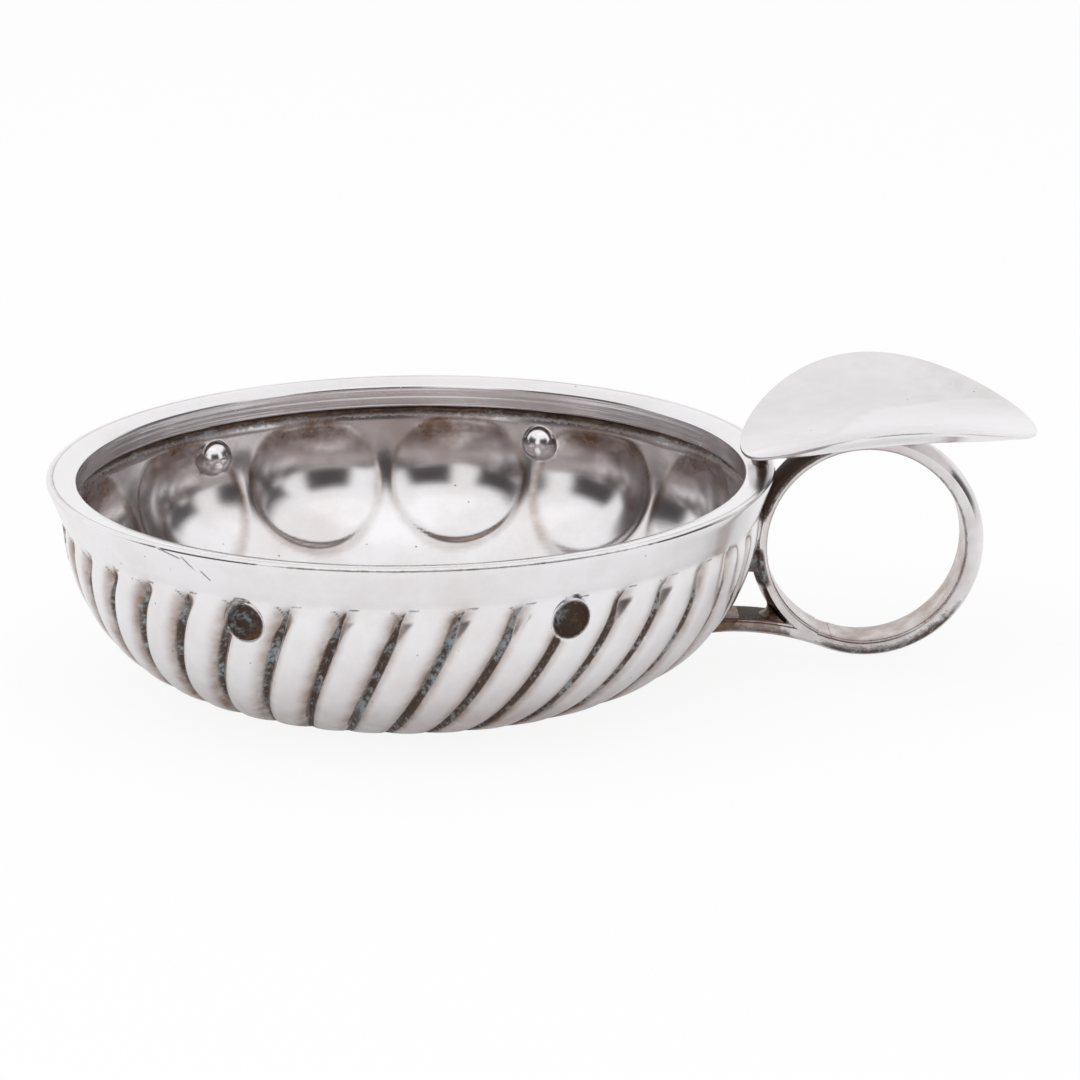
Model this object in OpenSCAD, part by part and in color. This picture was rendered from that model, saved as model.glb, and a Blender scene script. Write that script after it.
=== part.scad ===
// Silver wine taster: a shallow raised bowl with a soldered rim wire, a rolled finger ring and a thumb rest.
// Origin: centre of the base, on the table. +Z is up, +X points to the handle. Millimetres and degrees.

/* [Bowl] */
// Diameter over the rim
rim_d = 82; // [74:0.5:92]
// Height of the rim above the table
bowl_h = 23.5; // [21:0.5:27]
// Distance that the plain band leans out between shoulder and rim
flare = 1.8; // [0.8:0.1:2.6]
// Height of the plain band under the rim
band_h = 4.8; // [4.4:0.1:7]
// Diameter of the flat base
base_d = 44; // [38:0.5:50]
// Thickness of the silver sheet
sheet_t = 0.9; // [0.7:0.05:1.1]
// Bevel on the outer edge of the lip
lip_ease = 0.4; // [0.2:0.05:0.6]
// Diameter of the dome raised in the middle of the base
umbo_d = 26; // [18:0.5:32]
// Height of that dome
umbo_h = 4.5; // [2:0.25:7]

/* [Gadroons] */
// Number of spiral gadroons
gadroon_count = 19; // [12:1:22]
// Direction where the gadroons begin
gadroon_start = 178; // [174:1:182]
// Direction where the gadroons end
gadroon_end = 351; // [346:1:353]
// Depth of the grooves between gadroons
groove_depth = 1.05; // [0.5:0.05:1.3]
// Turn of a gadroon about the bowl between band and base
gadroon_twist = 18; // [0:1:24]

/* [Cupules] */
// Number of round cupules
cupule_count = 6; // [4:1:6]
// Width of a cupule
cupule_w = 17.4; // [12:0.2:18]
// Height of a cupule along the wall
cupule_l = 17.2; // [12:0.2:18]
// Depth of a cupule, which stands out of the wall behind
cupule_rise = 2.1; // [1.2:0.1:2.6]
// Depth of the cupule centres below the band
cupule_drop = 7.6; // [6.5:0.1:9]
// Direction where the cupules begin
cupule_start = 12; // [10:1:16]

/* [Beads] */
// Diameter of a bead inside the bowl
bead_d = 4.7; // [4.2:0.1:5]
// Diameter of the punched dimple behind it
dimple_d = 4.1; // [3.4:0.1:4.2]
// Depth of the beads below the band
bead_drop = 2.6; // [2.4:0.1:4]
// Depth of a bead's centre below the outer skin
bead_sink = 0.25; // [0.1:0.05:0.5]

/* [Rim wire] */
// Width of the whole top face of the rim
rim_w = 3.5; // [2.6:0.1:4.5]
// Height of the wire
rim_wire_h = 3.2; // [2.4:0.1:3.8]
// Fall of the top face towards the inside
rim_fall = 0.5; // [0:0.05:0.8]
// Height of the solder fillet under the wire
seam_h = 0.9; // [0.5:0.05:1.1]

/* [Finger ring] */
// Diameter of the finger hole
hole_d = 22.4; // [19:0.2:24]
// Mean thickness of the strap
strap_t = 2.1; // [1.7:0.05:2.5]
// Extra thickness of the strap at the outer side of the ring
strap_swell = 0.35; // [0:0.05:0.5]
// Width of the strap
strap_w = 5.5; // [4.5:0.1:7]
// Height of the crown on the outer face of the strap
strap_crown = 0.9; // [0.4:0.05:1.1]
// Height of the ring above the table
ring_lift = 0.3; // [0.1:0.05:1]
// Thickness left where the strap is filed to the bowl
strap_back_t = 1.1; // [0.8:0.05:1.4]
// Thickness left where the strap is filed to the thumb rest
strap_seat_t = 1.3; // [1:0.05:1.6]
// Height of the underside of the spur at its highest point
spur_z = 3.3; // [2.6:0.1:4.4]
// Distance of that point inside the shoulder
spur_in = 3.4; // [2.6:0.1:4.2]

/* [Thumb rest] */
// Length of the thumb rest
rest_len = 33.3; // [26:0.1:38]
// Greatest width, before the egg shape
rest_w = 37.2; // [26:0.2:40]
// Share by which the end over the bowl is wider
rest_egg = 0.11; // [0:0.01:0.2]
// Thickness of the plate
rest_t = 0.7; // [0.5:0.05:0.9]
// Radius of the bend across the plate
rest_bend_r = 45; // [36:1:60]
// Radius of the arch along the plate
rest_arch_r = 113; // [90:1:150]
// Distance that the plate reaches in over the rim
rest_reach = 3.9; // [3.6:0.1:5]
// Height of the plate above the rim at the pad
pad_h = 1.1; // [0.8:0.05:1.5]
// Length of the solder pad on the rim
pad_l = 1.8; // [1.2:0.1:2.2]
// Width of the solder pad
pad_w = 4.4; // [3:0.1:6]

/* [Solder] */
// Clearance between soldered faces
joint = 0.02; // [0.01:0.005:0.04]
// Thickness of the solder between strap and bowl
solder_t = 0.36; // [0.3:0.02:0.5]
// Height of the solder up the wall, above the middle of the ring
wall_solder_up = 7.5; // [5:0.25:8]
// Height of the solder down the wall, below the middle of the ring
wall_solder_down = 2.9; // [1.5:0.1:4]
// Length of the solder collar along the spur
collar_l = 0.9; // [0.5:0.05:1.3]
// Height of the solder collar over the spur
collar_t = 0.5; // [0.3:0.05:0.8]
// Radius of the solder bead in the crotch of strap and spur
crotch_r = 1.5; // [1:0.1:2]
// Reach of the solder to each side of the ring's top
saddle_l = 6.5; // [5:0.25:8]

/* [Hidden] */
$fn = 120;
// Finer curves for the thin solder pieces
solder_fn = 256;

// Radii of the bowl
rim_r = rim_d / 2;
shoulder_r = rim_r - flare;
base_r = base_d / 2;
shoulder_z = bowl_h - band_h;

// Steps of the wall from shoulder to base, closer together near the band
WALL_STEPS = 11;
FALLS = [for (i = [0:WALL_STEPS]) 90 * pow(i / WALL_STEPS, 1.15)];

// Columns across one gadroon, as shares of its pitch, close to the groove
LOBE_COLUMNS = [0, 0.09, 0.27, 0.5, 0.73, 0.91];
// Columns across one cupule, as shares of its pitch, close to its edges
CUPULE_COLUMNS = [0, 0.03, 0.09, 0.18, 0.3, 0.43, 0.57, 0.7, 0.82, 0.91, 0.97];
// Columns across the plain patch that carries the handle
PATCH_COLUMNS = 7;
gadroon_pitch = (gadroon_end - gadroon_start) / gadroon_count;
// Stretch at each end over which the twist settles, in degrees
twist_run = 42;
// Stretch below the band over which the relief reaches full depth, in degrees of fall
groove_run = 6;
// Degrees of fall between which the grooves die out above the base
groove_end = [52, 86];

cupule_pitch = (gadroon_start - cupule_start) / cupule_count;
patch_turn = 360 + cupule_start - gadroon_end;
// Directions of the beads, spaced by eye
BEAD_DIRS = [66, 128, 185, 243, 295];
umbo_r = umbo_d / 2;
umbo_bend_r = (umbo_r * umbo_r + umbo_h * umbo_h) / (2 * umbo_h);

// The ring stands beside the bowl; its outer circle is set a little out and down from the hole
hole_r = hole_d / 2;
ring_r = hole_r + strap_t;
swell_dir = -30;
ring_z = ring_lift + ring_r;
hole_x = wall_r(ring_z) + solder_t + strap_back_t + hole_r;
hole_z = ring_z - strap_swell * sin(swell_dir);
outer_x = hole_x + strap_swell * cos(swell_dir);
outer_z = ring_z;
crown_r = (pow(strap_w / 2, 2) + pow(strap_crown, 2)) / (2 * strap_crown);

// The underside of the spur is an arc that leaves the ring without a kink
spur_x = shoulder_r - spur_in;
spur_rise = outer_z - spur_z;
spur_r = (pow(outer_x - spur_x, 2) + pow(spur_rise, 2) - pow(ring_r, 2)) / (2 * (ring_r - spur_rise));
spur_cz = spur_z - spur_r;
spur_from = atan2(outer_z - spur_cz, outer_x - spur_x);
spur_to = 90 + asin(spur_in * 2 / spur_r);
// The tail of the strap laps over the spur by this turn
tail_gap = 8;

// The thumb rest stands on the pad and on the top of the ring
rest_x = rim_r - rest_reach;
pad_x = rim_r - rim_w / 2;
rest_pad_z = bowl_h + pad_h;
rest_ring_z = hole_z + hole_r + strap_seat_t + joint;
rest_chord = [hole_x - pad_x, rest_ring_z - rest_pad_z];
rest_drop = sqrt(pow(rest_arch_r, 2) - pow(norm(rest_chord) / 2, 2));
rest_cx = (pad_x + hole_x) / 2 + rest_drop * rest_chord[1] / norm(rest_chord);
rest_cz = (rest_pad_z + rest_ring_z) / 2 - rest_drop * rest_chord[0] / norm(rest_chord);
rest_tube = rest_arch_r + rest_bend_r + rest_t;
OUTLINE_STEPS = 72;
// Size of a block that is cut to shape by others
far = 60;

// Smooth rise from 0 to 1 between a and b
function smooth(a, b, x) = let (t = min(1, max(0, (x - a) / (b - a)))) t * t * (3 - 2 * t);

// Outer radius of the plain band at height z
function band_r(z) = shoulder_r + (rim_r - shoulder_r) * (z - shoulder_z) / band_h;

// Outer radius of the wall below the band at height z
function wall_r(z) = base_r + (shoulder_r - base_r) * sqrt(1 - pow(1 - z / shoulder_z, 2));

// Fall in degrees of a point that lies this far below the band
function fall_at(depth) = asin(depth / shoulder_z);

// Outward direction of the wall at a fall
function wall_normal(fall) =
    let (n = [cos(fall) / (shoulder_r - base_r), -sin(fall) / shoulder_z])
    n / norm(n);

// Point of the wall, a quarter ellipse, moved outwards by off
function wall_point(fall, off) =
    [base_r + (shoulder_r - base_r) * cos(fall), shoulder_z * (1 - sin(fall))] + off * wall_normal(fall);

// Points of the skin from lip to base, moved outwards by off
function skin(off, ease = 0) = concat(
    [[band_r(bowl_h) + off - ease, bowl_h], [band_r(bowl_h - lip_ease) + off, bowl_h - lip_ease]],
    [for (f = FALLS) wall_point(f, off)]
);

function turned(p, a) = [p[0] * cos(a), p[0] * sin(a), p[1]];

// Relief of the gadroons at column u and a fall: round lobes with sharp grooves between them
function gadroons(u, fall) =
    let (
        phase = (u - gadroon_start) / gadroon_pitch,
        across = abs(2 * (phase - floor(phase)) - 1),
        ends = smooth(0, 0.7, phase) * smooth(0, 0.7, gadroon_count - phase),
        along = min(1, fall / groove_run) * (1 - smooth(groove_end[0], groove_end[1], fall))
    )
    -groove_depth * (1 - sqrt(1 - min(1, across * across))) * ends * along;

// Relief of the cupules at column u and a fall: shallow round dishes with crisp edges, cut off by the band
function cupules(u, fall) =
    let (
        phase = (u - 360 - cupule_start) / cupule_pitch,
        mid = wall_point(fall_at(cupule_drop), 0),
        here = wall_point(fall, 0),
        across = (phase - floor(phase) - 0.5) * cupule_pitch * PI / 180 * mid[0],
        along = norm(here - mid)
    )
    cupule_rise * max(0, 1 - pow(2 * across / cupule_w, 2) - pow(2 * along / cupule_l, 2)) * smooth(0, groove_run, fall);

// Relief at column u, counted on from the start of the gadroons, and a fall
function relief(u, fall) =
    u < gadroon_end ? gadroons(u, fall) :
    u < gadroon_end + patch_turn ? 0 :
    cupules(u, fall);

// Direction of column u at a fall: the columns lean back as they go down
function leaning(u, fall) =
    u - gadroon_twist * fall / 90 * smooth(0, twist_run, u - gadroon_start) * smooth(0, twist_run, gadroon_end - u);

// One column of the wall, moved outwards by off
function column(u, off, ease) =
    let (plain = skin(off, ease))
    [for (i = [0:len(plain) - 1])
        let (fall = i < 2 ? 0 : FALLS[i - 2])
        turned(plain[i] + (i < 2 ? 0 : relief(u, fall)) * wall_normal(fall), leaning(u, fall))];

// Places the axis of a turned shape along Y at x, z
module about_y(x, z) {
    translate([x, 0, z]) rotate([90, 0, 0]) children();
}

// Places a shape on the wall with its Z axis pointing outwards
module on_wall(dir, depth) {
    fall = fall_at(depth);
    n = wall_normal(fall);
    rotate([0, 0, dir]) translate([wall_point(fall, 0)[0], 0, wall_point(fall, 0)[1]])
        rotate([0, 90 - atan2(n[1], n[0]), 0]) children();
}

// The sheet of the bowl with its chased relief, as one closed skin
module chased_sheet() {
    columns = concat(
        [for (g = [0:gadroon_count - 1]) for (c = LOBE_COLUMNS) gadroon_start + (g + c) * gadroon_pitch],
        [for (i = [0:PATCH_COLUMNS - 1]) gadroon_end + patch_turn * i / PATCH_COLUMNS],
        [for (g = [0:cupule_count - 1]) for (c = CUPULE_COLUMNS) 360 + cupule_start + (g + c) * cupule_pitch]
    );
    count = len(columns);
    n = len(FALLS) + 2;
    points = concat(
        [for (u = columns) for (p = concat(column(u, 0, lip_ease), column(u, -sheet_t, 0))) p],
        [[0, 0, 0], [0, 0, sheet_t]]
    );
    axis = len(points) - 2;
    function o(j, k) = (j % count) * 2 * n + k;
    function i(j, k) = (j % count) * 2 * n + n + k;
    function quad(a, b, c, d) = [[a, b, c], [a, c, d]];
    sides = [for (j = [0:count - 1]) for (k = [0:n - 2]) for (t = concat(
        quad(o(j, k), o(j + 1, k), o(j + 1, k + 1), o(j, k + 1)),
        quad(i(j, k), i(j, k + 1), i(j + 1, k + 1), i(j + 1, k))
    )) t];
    lip = [for (j = [0:count - 1]) for (t = quad(i(j, 0), i(j + 1, 0), o(j + 1, 0), o(j, 0))) t];
    floors = [for (j = [0:count - 1]) for (t = [
        [axis, o(j, n - 1), o(j + 1, n - 1)],
        [axis + 1, i(j + 1, n - 1), i(j, n - 1)]
    ]) t];
    polyhedron(points, concat(sides, lip, floors));
}

// The plain bowl as a solid lump, its skin moved outwards by off
module bowl_lump(off) {
    rotate_extrude() polygon(concat(skin(off), [[0, -off], [0, bowl_h]]));
}

// Beads inside the bowl, each half a ball that starts in the middle of the sheet
module beads() {
    for (a = BEAD_DIRS) on_wall(a, bead_drop) intersection() {
        translate([0, 0, -bead_sink]) sphere(d = bead_d);
        translate([0, 0, -sheet_t / 2 - bead_d]) cylinder(d = bead_d, h = bead_d);
    }
}

// Punched dimples outside the bowl, one behind each bead
module dimples() {
    for (a = BEAD_DIRS) on_wall(a, bead_drop) translate([0, 0, -bead_sink]) sphere(d = dimple_d);
}

// Ball that shapes the dome in the base
module umbo_ball(r) {
    translate([0, 0, umbo_h - umbo_bend_r]) sphere(r);
}

module bowl() {
    color("#d9d6d4") difference() {
        union() {
            chased_sheet();
            beads();
            intersection() {
                umbo_ball(umbo_bend_r + sheet_t);
                translate([0, 0, sheet_t / 2]) cylinder(r = umbo_r + sheet_t, h = umbo_h + sheet_t);
            }
        }
        dimples();
        umbo_ball(umbo_bend_r);
    }
}

// Inner radius of the band at height z, where the rim wire and its solder lie against it
function seat_r(z) = band_r(z) - sheet_t - joint;

module rim_wire() {
    top = rim_r - rim_w;
    foot = bowl_h - rim_wire_h;
    color("#e4e2e0") rotate_extrude() polygon([
        [seat_r(bowl_h), bowl_h],
        [top, bowl_h - rim_fall],
        [top, foot],
        [seat_r(foot), foot]
    ]);
}

module rim_solder() {
    head = bowl_h - rim_wire_h - joint;
    color("#a9a49e") rotate_extrude() polygon([
        [seat_r(head), head],
        [rim_r - rim_w, head],
        [seat_r(head - seam_h), head - seam_h]
    ]);
}

// Section of the strap, flat on the inside and crowned on the outside, grown by g
module strap_section(t, g) {
    intersection() {
        translate([-g, -strap_w / 2 - g]) square([t + 2 * g, strap_w + 2 * g]);
        translate([t - crown_r, 0]) circle(crown_r + g);
    }
}

// The strap before it is filed to its seats, grown by g: the rolled ring with its tail, and the spur
module strap(g) {
    depth = strap_t + 2 * strap_swell;
    difference() {
        union() {
            about_y(outer_x, outer_z) rotate([0, 0, spur_from - 180])
                rotate_extrude(angle = 360 - tail_gap) translate([ring_r - depth, 0]) strap_section(depth, g);
            about_y(spur_x, spur_cz) rotate([0, 0, spur_from])
                rotate_extrude(angle = spur_to - spur_from)
                    translate([spur_r + strap_t, 0]) mirror([1, 0]) strap_section(strap_t, g);
        }
        about_y(hole_x, hole_z) cylinder(r = hole_r - g, h = far, center = true);
    }
}

// The space above the underside of the thumb rest, started lower by g
module above_rest(g) {
    about_y(rest_cx, rest_cz) rotate([0, 0, 45])
        rotate_extrude(angle = 90) translate([rest_tube, 0]) circle(rest_bend_r + rest_t + g);
}

// The strap filed to the wall of the bowl, grown by g
module filed_strap(g) {
    difference() {
        strap(g);
        bowl_lump(solder_t - g);
    }
}

module finger_ring() {
    color("#cfcac8") difference() {
        filed_strap(0);
        above_rest(joint);
    }
}

// Solder between the strap and the wall of the bowl
module wall_solder() {
    $fn = solder_fn;
    low = ring_z - wall_solder_down;
    color("#8d8580") difference() {
        translate([0, -strap_w / 2, low])
            cube([hole_x - hole_r - strap_back_t / 2, strap_w, wall_solder_up + wall_solder_down]);
        bowl_lump(joint);
        filed_strap(joint);
    }
}

// Solder collar where the spur meets the wall of the bowl
module spur_solder() {
    $fn = solder_fn;
    foot_z = spur_z + strap_t / 2;
    high = strap_t + 2 * collar_t;
    wide = strap_w + 2 * collar_t;
    color("#8d8580") difference() {
        intersection() {
            translate([0, -wide / 2, foot_z - high / 2]) cube([far, wide, high]);
            bowl_lump(solder_t + collar_l);
        }
        bowl_lump(joint);
        filed_strap(joint);
    }
}

// Solder in the crotch between the tail of the strap and the spur
module lap_solder() {
    $fn = solder_fn;
    top_r = spur_r + strap_t;
    span = norm([outer_x - spur_x, outer_z - spur_cz]);
    along = (pow(ring_r, 2) - pow(top_r, 2) + pow(span, 2)) / (2 * span);
    side = sqrt(pow(ring_r, 2) - pow(along, 2));
    ux = (spur_x - outer_x) / span;
    uz = (spur_cz - outer_z) / span;
    color("#d6d0cb") difference() {
        about_y(outer_x + along * ux + side * uz, outer_z + along * uz - side * ux)
            cylinder(r = crotch_r, h = strap_w - strap_crown, center = true);
        strap(joint);
        bowl_lump(solder_t);
    }
}

// Outline of the thumb rest in plan, an egg with its broad end over the bowl
function egg() = [for (i = [0:OUTLINE_STEPS - 1])
    let (a = 360 * i / OUTLINE_STEPS)
    [rest_x + rest_len / 2 * (1 - cos(a)), rest_w / 2 * sin(a) * (1 + rest_egg * cos(a))]];

module thumb_rest() {
    color("#e2dfde") intersection() {
        about_y(rest_cx, rest_cz) rotate([0, 0, 45]) rotate_extrude(angle = 90)
            translate([rest_tube, 0]) difference() {
                circle(rest_bend_r + rest_t);
                circle(rest_bend_r);
            }
        translate([0, 0, bowl_h]) linear_extrude(far / 2) polygon(egg());
    }
}

// Solder between the top of the ring and the thumb rest
module rest_solder() {
    $fn = solder_fn;
    wide = strap_w - strap_crown;
    color("#a9a49e") difference() {
        translate([hole_x - saddle_l, -wide / 2, hole_z + hole_r]) cube([2 * saddle_l, wide, far / 4]);
        strap(joint);
        above_rest(joint);
    }
}

// Solder pad that carries the end of the thumb rest on the rim
module rim_pad() {
    $fn = solder_fn;
    color("#6f6862") difference() {
        translate([pad_x - pad_l / 2, -pad_w / 2, bowl_h + joint]) cube([pad_l, pad_w, far / 4]);
        above_rest(joint);
    }
}

bowl();
rim_wire();
rim_solder();
finger_ring();
wall_solder();
spur_solder();
lap_solder();
thumb_rest();
rest_solder();
rim_pad();
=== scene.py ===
"""Looks of an old silver wine taster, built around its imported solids."""

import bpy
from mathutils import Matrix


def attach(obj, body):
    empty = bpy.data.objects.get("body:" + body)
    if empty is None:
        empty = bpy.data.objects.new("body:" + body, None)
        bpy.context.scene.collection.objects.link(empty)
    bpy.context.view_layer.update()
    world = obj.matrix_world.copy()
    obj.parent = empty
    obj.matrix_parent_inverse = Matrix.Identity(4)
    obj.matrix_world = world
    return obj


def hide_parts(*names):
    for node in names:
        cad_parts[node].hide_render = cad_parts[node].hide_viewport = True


bl_info = {
    "name": "Silver Wine Taster",
    "version": (1, 0, 0),
    "blender": (4, 5, 0),
    "location": "View3D > Sidebar > Taster",
    "description": "Chased bowl, rim, finger ring and thumb rest of an old silver wine taster",
    "category": "Add Mesh",
}

from functools import partial
from types import SimpleNamespace

import bpy
import numpy as np
from bpy.props import FloatProperty, IntProperty, PointerProperty, StringProperty
from mathutils import Matrix, Vector

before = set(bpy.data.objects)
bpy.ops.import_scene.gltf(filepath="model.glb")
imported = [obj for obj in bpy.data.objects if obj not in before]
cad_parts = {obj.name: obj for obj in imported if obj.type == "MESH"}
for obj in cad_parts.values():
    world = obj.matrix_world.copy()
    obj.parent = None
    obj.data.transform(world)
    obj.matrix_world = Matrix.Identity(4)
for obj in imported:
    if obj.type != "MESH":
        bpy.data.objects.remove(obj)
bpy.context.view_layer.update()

MM = 0.001


def length(label, words, mm):
    """A size in millimetres, kept as a Blender length."""
    kind = {"unit": "LENGTH", "subtype": "DISTANCE", "precision": 5}
    return FloatProperty(name=label, description=words, default=mm * MM, **kind)


def tint(label, words, code):
    """A colour, kept as an sRGB hex code."""
    return StringProperty(name=label, description=words, default=code)


class TasterSizes(bpy.types.PropertyGroup):
    """Sizes of the taster. All but the hollow of the crotch are the same values as its solids have."""

    rim_d: length("Rim", "Diameter over the rim", 82)
    bowl_h: length("Height", "Height of the rim above the table", 23.5)
    flare: length("Flare", "Distance that the band leans out between shoulder and rim", 1.8)
    band_h: length("Band", "Height of the plain band under the rim", 4.8)
    base_d: length("Base", "Diameter of the flat base", 44)
    sheet_t: length("Sheet", "Thickness of the silver sheet", 0.9)
    lip_ease: length("Lip ease", "Rounding of the outer edge of the lip", 0.4)
    umbo_d: length("Dome", "Diameter of the dome in the base", 26)
    umbo_h: length("Dome height", "Height of the dome in the base", 4.5)
    groove_depth: length("Groove", "Depth of the grooves between gadroons", 1.05)
    gadroon_count: IntProperty(name="Gadroons", description="Number of spiral gadroons", default=19, min=4)
    cupule_count: IntProperty(name="Cupules", description="Number of round cupules", default=6, min=2)
    cupule_w: length("Cupule width", "Width of a cupule", 17.4)
    cupule_l: length("Cupule height", "Height of a cupule along the wall", 17.2)
    cupule_rise: length("Cupule depth", "Depth of a cupule", 2.1)
    cupule_drop: length("Cupule drop", "Depth of the cupule centres below the band", 7.6)
    bead_d: length("Bead", "Diameter of a bead inside the bowl", 4.7)
    dimple_d: length("Dimple", "Diameter of the punched dimple behind a bead", 4.1)
    bead_drop: length("Bead drop", "Depth of the beads below the band", 2.6)
    bead_sink: length("Bead sink", "Depth of a bead's centre below the outer skin", 0.25)
    rim_w: length("Rim width", "Width of the whole top face of the rim", 3.5)
    rim_wire_h: length("Rim wire", "Height of the rim wire", 3.2)
    rim_fall: length("Rim fall", "Fall of the rim's top face towards the inside", 0.5)
    seam_h: length("Seam", "Height of the solder fillet under the wire", 0.9)
    hole_d: length("Finger hole", "Diameter of the finger hole", 22.4)
    strap_t: length("Strap", "Mean thickness of the strap", 2.1)
    strap_swell: length("Strap swell", "Extra thickness at the outer side of the ring", 0.35)
    strap_w: length("Strap width", "Width of the strap", 5.5)
    strap_crown: length("Strap crown", "Height of the crown on the strap's outer face", 0.9)
    ring_lift: length("Ring lift", "Height of the ring above the table", 0.3)
    strap_back_t: length("Strap back", "Thickness of the strap at the bowl", 1.1)
    strap_seat_t: length("Strap seat", "Thickness of the strap under the thumb rest", 1.3)
    spur_z: length("Spur height", "Height of the underside of the spur", 3.3)
    spur_in: length("Spur reach", "Distance of that point inside the shoulder", 3.4)
    rest_len: length("Rest length", "Length of the thumb rest", 33.3)
    rest_w: length("Rest width", "Greatest width of the thumb rest", 37.2)
    rest_t: length("Rest sheet", "Thickness of the thumb rest", 0.7)
    rest_bend_r: length("Rest bend", "Radius of the bend across the rest", 45)
    rest_arch_r: length("Rest arch", "Radius of the arch along the rest", 113)
    rest_reach: length("Rest reach", "Distance that the rest reaches in over the rim", 3.9)
    pad_h: length("Pad", "Height of the rest above the rim at its pad", 1.1)
    pad_l: length("Pad length", "Length of the pad", 1.8)
    pad_w: length("Pad width", "Width of the pad", 4.4)
    saddle_l: length("Seat solder", "Half length of the solder under the rest", 6.5)
    crotch_r: length("Crotch", "Hollow of the solder between ring and spur", 1.0)
    collar_l: length("Collar", "Length of the solder collar on the spur", 0.9)
    collar_t: length("Collar rise", "Thickness of that collar at the wall", 0.5)
    solder_t: length("Solder", "Thickness of the solder between strap and bowl", 0.36)
    joint: length("Joint", "Clearance between soldered faces", 0.02)


class TasterColours(bpy.types.PropertyGroup):
    """Colours of the silver, its patina and tarnish, the painted shade laid with them, and the stage."""

    silver: tint("Silver", "Polished old silver", "#eeecee")
    warm: tint("Warm silver", "Silver with a thin pinkish tarnish", "#d3c6c2")
    # Patina, and also the colour of the painted shade, painted shadow and painted reflection in the dark mask
    patina_and_shade: tint("Patina", "Dark patina in the grooves", "#5b4a40")
    # Its flecks also tint the painted reflections of the shaded floor on the strap
    slate: tint("Slate", "Blue grey flecks of the patina", "#a7aeb3")
    # Also the brown of the painted shade on the lobes, the cupules, the rim at the pad and the thumb rest
    tarnish: tint("Tarnish", "Brown tarnish under the rim", "#876e5d")
    # Laid on one side of each dimple, as painted shading
    amber: tint("Amber", "Golden crust in the dimples", "#7d6440")
    floor: tint("Floor", "Pale studio floor", "#f4f4f4")


# Directions round the bowl, in degrees: a fall of 0 is the shoulder under the band, and 90 is the base
GADROON_START, GADROON_END = 178.0, 351.0
CUPULE_START = 12.0
BEAD_DIRS = (66.0, 128.0, 185.0, 243.0, 295.0)
# Lean of the gadroons from shoulder to base, and the stretch at either end in which it sets in
TWIST, TWIST_RUN = 18.0, 42.0
# Fall by which the relief has its full depth, and falls between which the grooves die out
GROOVE_RUN = 6.0
GROOVE_END = (54.0, 82.0)
# Direction in which the strap swells, open turn behind its tail, and share by which the rest is an egg
SWELL_DIR, TAIL_GAP, REST_EGG = -30.0, 8.0, 0.11
# Strokes of the scratch on the band, from and to, and the painted shade on the rim at the pad, under the
# rest, in millimetres
STROKES = (
    ((-27.1, -30.76, 23.3), (-24.2, -32.64, 22.52)),
    ((-24.33, -32.74, 22.95), (-22.5, -33.2, 21.1)),
    ((-22.32, -33.54, 21.59), (-21.08, -33.81, 20.41)),
)
PAD_SHADE = (39.3, -2.2)
# Stage cards: colour, strength, first and last azimuth, lowest and highest elevation, distance in millimetres
CARDS = {
    "flag_right": ("#4a4648", 1.0, 256, 318, -6, 44, 600),
    "flag_left": ("#4a4648", 1.0, 172, 240, -6, 44, 600),
    "flag_side": ("#5a5658", 1.0, -28, 40, -6, 42, 600),
    "card_back": ("#fafafa", 1.0, 30, 150, 22, 76, 900),
    "card_top": ("#ffffff", 1.12, 190, 350, 50, 88, 800),
}
# Lamps: place and size in millimetres, and power in watts
LAMPS = {
    "softbox_top": ((-40, -120, 650), (620, 420), 1.05),
    "softbox_left": ((-560, -260, 430), (420, 420), 0.55),
}
LAMP_AIM = (10, 0, 12)
# The camera: distance from the middle of the rim in millimetres, then angles in degrees
CAMERA_FAR = 450.29
CAMERA_ELEVATION, CAMERA_YAW, CAMERA_PITCH, CAMERA_ROLL = 15.465, 1.823, -1.120, -0.832
# Its focal length and frame in pixels of the photograph, and its sensor in millimetres
FOCAL, FRAME, SENSOR = 4000, 1080, 36.0


def in_mm(sizes):
    """The sizes as plain numbers: lengths in millimetres, counts as they are."""
    values = {name: getattr(sizes, name) for name in TasterSizes.__annotations__}
    return SimpleNamespace(**{name: v if isinstance(v, int) else v / MM for name, v in values.items()})


def smooth(a, b, x):
    """Rises from 0 at a to 1 at b with level ends."""
    t = np.clip((np.asarray(x, float) - a) / (b - a), 0, 1)
    return t * t * (3 - 2 * t)


def between(a, b, c, d, x):
    """Rises from 0 at a to 1 at b, then falls from 1 at c to 0 at d."""
    return smooth(a, b, x) * (1 - smooth(c, d, x))


def hill(x, middle, width):
    """A bell curve: 1 at the middle, and next to nothing two widths beside it."""
    return np.exp(-(((x - middle) / width) ** 2))


def eased(x, soft):
    """x where it is positive, else 0, with the bend between them softened."""
    return (x + np.sqrt(x**2 + soft**2)) / 2


def unit(a):
    """Points of the unit circle at angles in radians."""
    return np.stack([np.cos(a), np.sin(a)], -1)


def heading(way):
    """Angle of a way in the plane, in radians."""
    return np.arctan2(way[1], way[0])


def linear(code):
    """sRGB hex code to linear RGBA."""
    rgb = np.array([int(code[i : i + 2], 16) for i in (1, 3, 5)]) / 255
    low, high = rgb / 12.92, ((rgb + 0.055) / 1.055) ** 2.4
    return (*np.where(rgb <= 0.04045, low, high), 1.0)


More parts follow.
